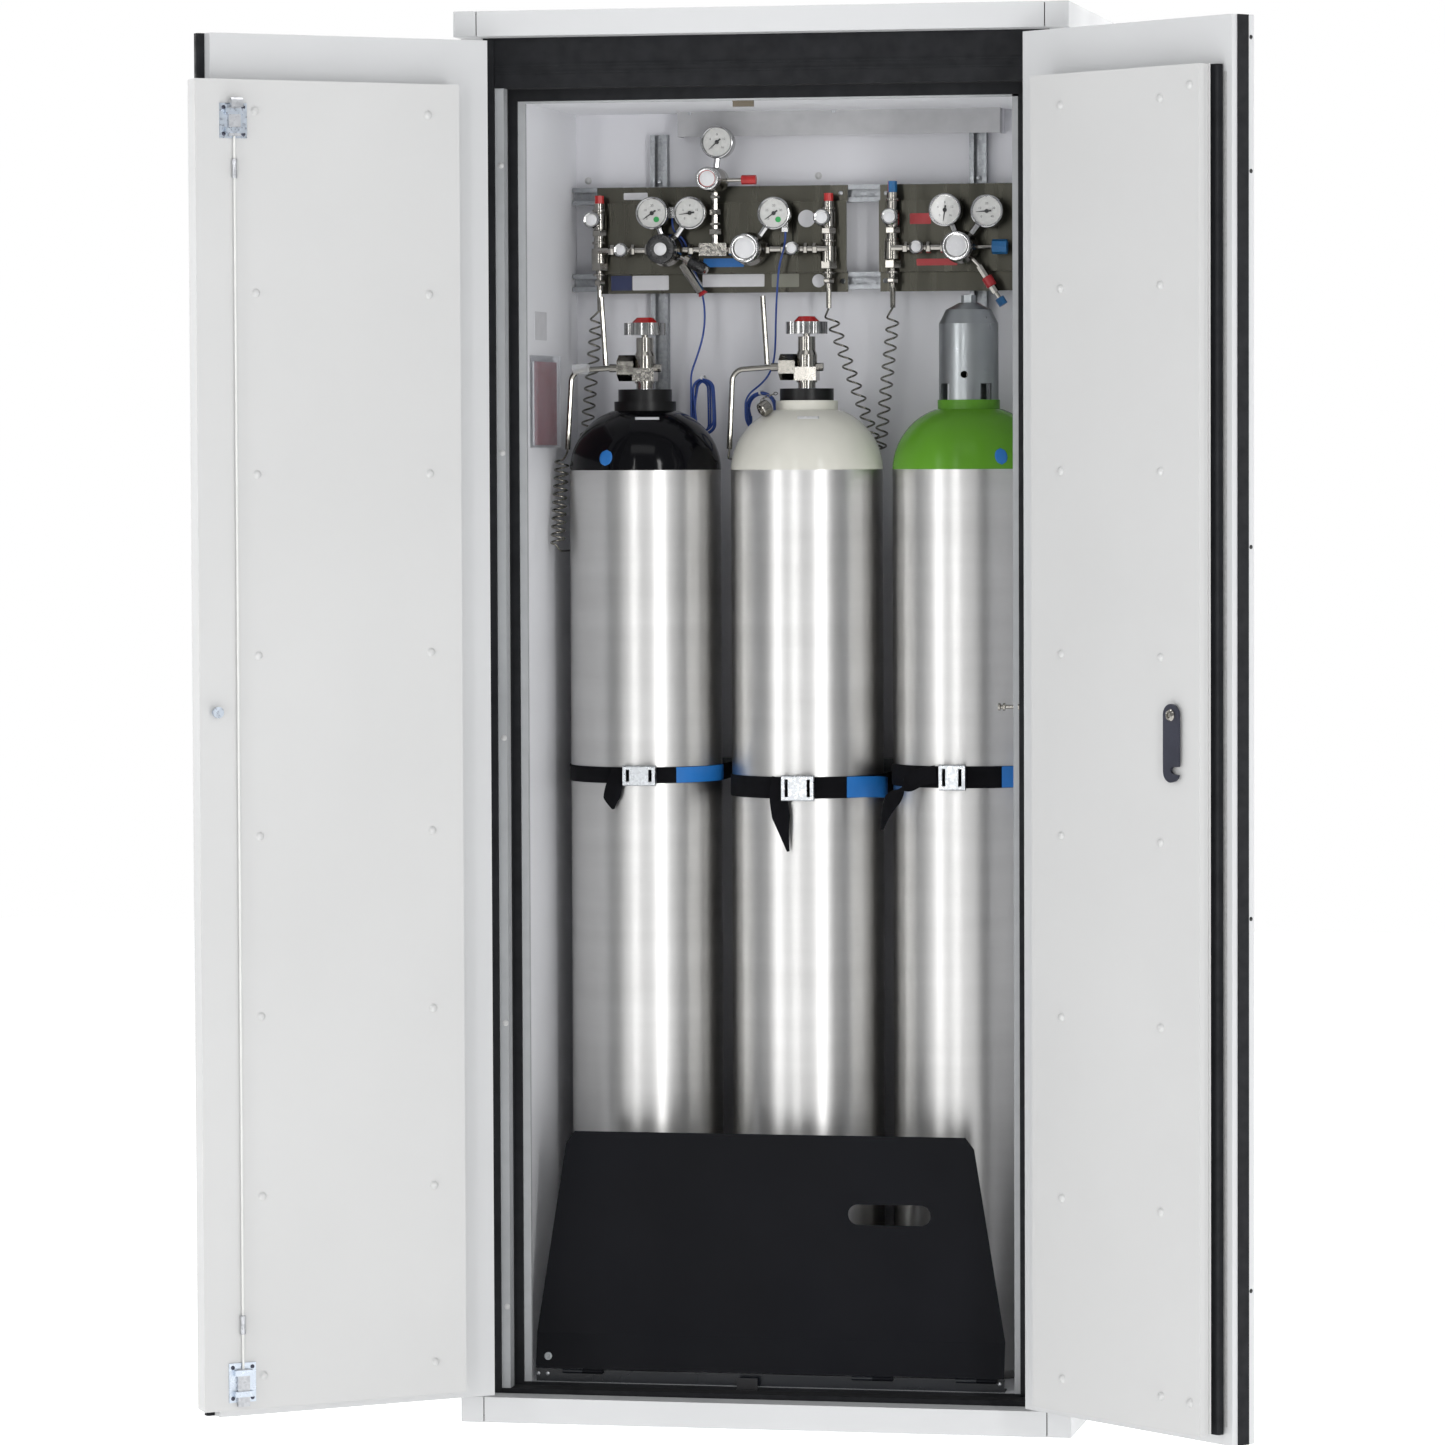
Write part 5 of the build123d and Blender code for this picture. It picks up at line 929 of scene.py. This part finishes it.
screws = bmesh.new()
for radius, high, *places in (
    (3.4, 1.6, (42, plate_d, 1800), (111.0, plate_d, 1799), (-187, 430, 1923), (33, 430, 1923)),
    (3.0, 1.4, (-241, 460, 1821), (247, 460, 1821)), (2.8, 1.3, (-355, 98.5, 59), (-341, 98.5, 59), (331, 98.5, 60)),
):
    for place in places:
        screw(screws, at(*place), -axis_y, radius, high)
piece("bay_screws", screws, zinc)

ramp_plug = [(0, 1.5), (2.4, 1.4), (2.9, 0.6), (4.6, 0.9), (5.6, 0.5), (5.9, 0), (5.9, -2), (0, -2)]
turned("ramp_plug", ramp_plug, at(-340, 97.6, 85), (0, -1, 0.22), guard_zinc, "ramp_plate", 24)


# Left wall: bare label, and the booklet in its pocket. Right wall: door stop

for name, x, d, z, thick, material, radius in (
    ("wall_label", -372.5, (186, 265), (1579, 1621), 0.4, white_paper, 2.0),
    ("booklet_pages", -369.6, (158, 302), (1424, 1546), 3.0, white_paper, 1.0),
    ("booklet_cover", -366.6, (157, 303), (1423.5, 1547), 0.8, booklet_red, 1.5),
):
    corners = [at(x, pd, pz) for pd, pz in rounded(d, z, radius)]
    piece(name, slab(bmesh.new(), corners, thick, axis_x), material, smooth=False)

pin = [
    (0, 0), (6.0, 0), (6.0, 2.0), (3.0, 2.6), (3.0, 20), (5.6, 21), (5.6, 24), (3.0, 25), (3.0, 27), (5.6, 28),
    (5.6, 31), (0, 31),
]
turned("door_stop_pin", pin, at(363, 94, 1043.7), -axis_x, nickel, sides=20)


# Bottle shoulders: round stickers and small bare labels on the dome


def dome_patch(name, x, azimuth, rise, half_w, half_h, material, round_patch=True):
    """A thin sticker on a shoulder: azimuth in degrees from the front, rise in degrees up the dome."""
    shape = bmesh.new()
    dome_r, dome_x, dome_z = 94.365, 18.635, 1385
    sticker_r = dome_r + 0.35
    rows = 8
    grid = []
    for i in range(rows + 1):
        v = -1 + 2 * i / rows
        wide = sqrt(max(0.0, 1 - v * v)) if round_patch else 1.0
        row = []
        for j in range(rows + 1):
            u = (-1 + 2 * j / rows) * max(wide, 0.02)
            tilt = radians(rise) + v * half_h / dome_r
            radius = dome_x + sticker_r * cos(tilt)
            a = radians(azimuth) + u * half_w / radius
            z = dome_z + sticker_r * sin(tilt)
            row.append(shape.verts.new(at(x + radius * sin(a), bottle_d - radius * cos(a), z)))
        grid.append(row)
    for low, high in zip(grid, grid[1:]):
        for j in range(rows):
            shape.faces.new([low[j], low[j + 1], high[j + 1], high[j]])
    thicken = piece(name, shape, material).modifiers.new("thickness", "SOLIDIFY")
    thicken.thickness = 0.0003
    thicken.offset = 1


dome_patch("blue_sticker_left", bottles_x[0], -20, 12, 11, 12, blue_print)
dome_patch("blue_sticker_right", bottles_x[2], 34, 12, 10, 12, blue_print)
dome_patch("shoulder_label_left", bottles_x[0], 14, 55, 18, 3.2, white_paper, False)
dome_patch("shoulder_label_middle", bottles_x[1], 12, 55, 16, 3.2, cap_white, False)


# Dust cap that hangs on its chain at the middle bottle

dust_cap = [(0, 0), (10.2, 0), (11.4, 1.4), (11.4, 13), (10, 14.5), (4.5, 14.5), (4.5, 17), (3, 18), (0, 18)]
turned("dust_cap", dust_cap, at(-36, 262, 1480.5), (-0.75, -0.55, -0.55), nickel)
chain = bmesh.new()
chain_places = (
    (-27, 283, 1499), (-31, 278, 1498), (-36, 273, 1496), (-41, 268, 1494), (-44, 262, 1491), (-46, 257, 1487),
    (-47, 253, 1482), (-48, 249, 1477),
)
round_steps, wire_steps = 14, 6
link_half, link_wire = 0.0021, 0.0006
for index, (first, second) in enumerate(zip(chain_places, chain_places[1:])):
    start, end = at(*first), at(*second)
    way = (end - start).normalized()
    flat = way.cross(axis_z if index % 2 else axis_y).normalized()
    thick = flat.cross(way).normalized()
    middle, reach = (start + end) / 2, (end - start).length / 2 + 0.0009
    rings = []
    for k in range(round_steps):
        a = 2 * pi * k / round_steps
        centre = middle + way * reach * cos(a) + flat * link_half * sin(a)
        outward = (way * cos(a) + flat * sin(a)).normalized()
        spokes = [2 * pi * j / wire_steps for j in range(wire_steps)]
        rings.append([
            chain.verts.new(centre + (outward * cos(b) + thick * sin(b)) * link_wire) for b in spokes
        ])
    for ring, following in zip(rings, rings[1:] + rings[:1]):
        join(chain, ring, following)
piece("dust_cap_chain", chain, nickel)

eased_rod("clear_wrap", at(-344, bottle_d, 1536.5), at(-316, bottle_d, 1537.5), 8.5, clear_plastic, ease=3.0)


# Latch screws on the left leaf

screw_places = [swing(-1, at(x, 85.9, z)) for z in (1861.0, 1898.0, 78.6, 122.5) for x in (-45.5, -15.5)]
studs("latch_screws", screw, screw_places, swing(-1, axis_y, True), 3.0, 1.5, hook_slate, "left_door")


# Ties on the wound cables

for name, x, d, z, half_x, half_d in (
    ("hank_tie", -162.5, 402.5, 1524, 1.35, 10.5), ("ring_tie", -72.5, 398.5, 1501, 1.5, 11.0),
):
    turns = [2 * pi * k / 24 for k in range(25)]
    loop = [at(x + half_x * cos(a), d + half_d * cos(a), z + 3.4 * sin(a)) for a in turns]
    ribbon(name, loop, 3.0, 0.8, cap_white, axis_x)


# Light and floor. Three plain backgrounds: for soft light, for what shiny parts reflect, for what the camera sees

world = bpy.data.worlds.new("studio")
bpy.context.scene.world = world
world.use_nodes = True
tree = world.node_tree
shown = ambient = tree.nodes["Background"]
rays = tree.nodes.new("ShaderNodeLightPath")
for ray, colour, strength in (("Is Glossy Ray", (0.97, 0.98, 1.0), 0.36), ("Is Camera Ray", (1, 1, 1), 1.0)):
    layer = tree.nodes.new("ShaderNodeBackground")
    layer.inputs["Color"].default_value = (*colour, 1)
    layer.inputs["Strength"].default_value = strength
    chooser = tree.nodes.new("ShaderNodeMixShader")
    tree.links.new(rays.outputs[ray], chooser.inputs[0])
    tree.links.new(shown.outputs[0], chooser.inputs[1])
    tree.links.new(layer.outputs[0], chooser.inputs[2])
    shown = chooser
ambient.inputs["Color"].default_value = (0.95, 0.97, 1.0, 1)
ambient.inputs["Strength"].default_value = 0.42
tree.links.new(shown.outputs[0], tree.nodes["World Output"].inputs["Surface"])

# Lamps: name, place and target in metres, width and height, watts
for name, place, target, size, watts in (
    ("strip_right", (2.75, -4.6, 1.5), (0.1, 0, 1.2), (0.45, 3.4), 74),
    ("strip_centre", (-0.75, -5.2, 1.7), (0, 0, 1.2), (0.22, 3.2), 24),
    ("strip_left", (-3.0, -4.2, 1.8), (0, 0, 1.2), (0.9, 3.2), 38),
    ("side_right", (4.5, 1.0, 2.0), (0.45, 0, 1.1), (1.5, 3.0), 48),
    ("side_left", (-4.5, 1.5, 2.0), (-0.45, 0, 1.1), (1.5, 3.0), 60),
    ("behind", (0.3, 4.8, 2.4), (0, 0.3, 1.1), (3.0, 2.6), 70),
    ("above", (0, 0.6, 5.2), (0, 0.1, 2.0), (2.6, 2.6), 75),
    ("top_front", (0.3, -3.6, 4.4), (0, 0, 1.0), (2.8, 1.2), 14),
):
    data = bpy.data.lights.new(name, "AREA")
    data.shape = "RECTANGLE"
    data.size, data.size_y = size
    data.energy = watts
    lamp = placed(name, data)
    lamp.location = place
    lamp.rotation_euler = (Vector(target) - Vector(place)).to_track_quat("-Z", "Y").to_euler()

ground = bmesh.new()
slab(ground, [(-9, -12, -0.02), (9, -12, -0.02), (9, 9, -0.02), (-9, 9, -0.02)], 20, axis_z)
floor_mesh = bpy.data.meshes.new("floor")
ground.to_mesh(floor_mesh)
ground.free()
floor_mesh.materials.append(paint(
    "pale_floor", (0.93, 0.93, 0.93), 0.8, Specular_IOR_Level=0.0, Emission_Color=(1, 1, 1, 1), Emission_Strength=0.7,
))
floor = placed("floor", floor_mesh)
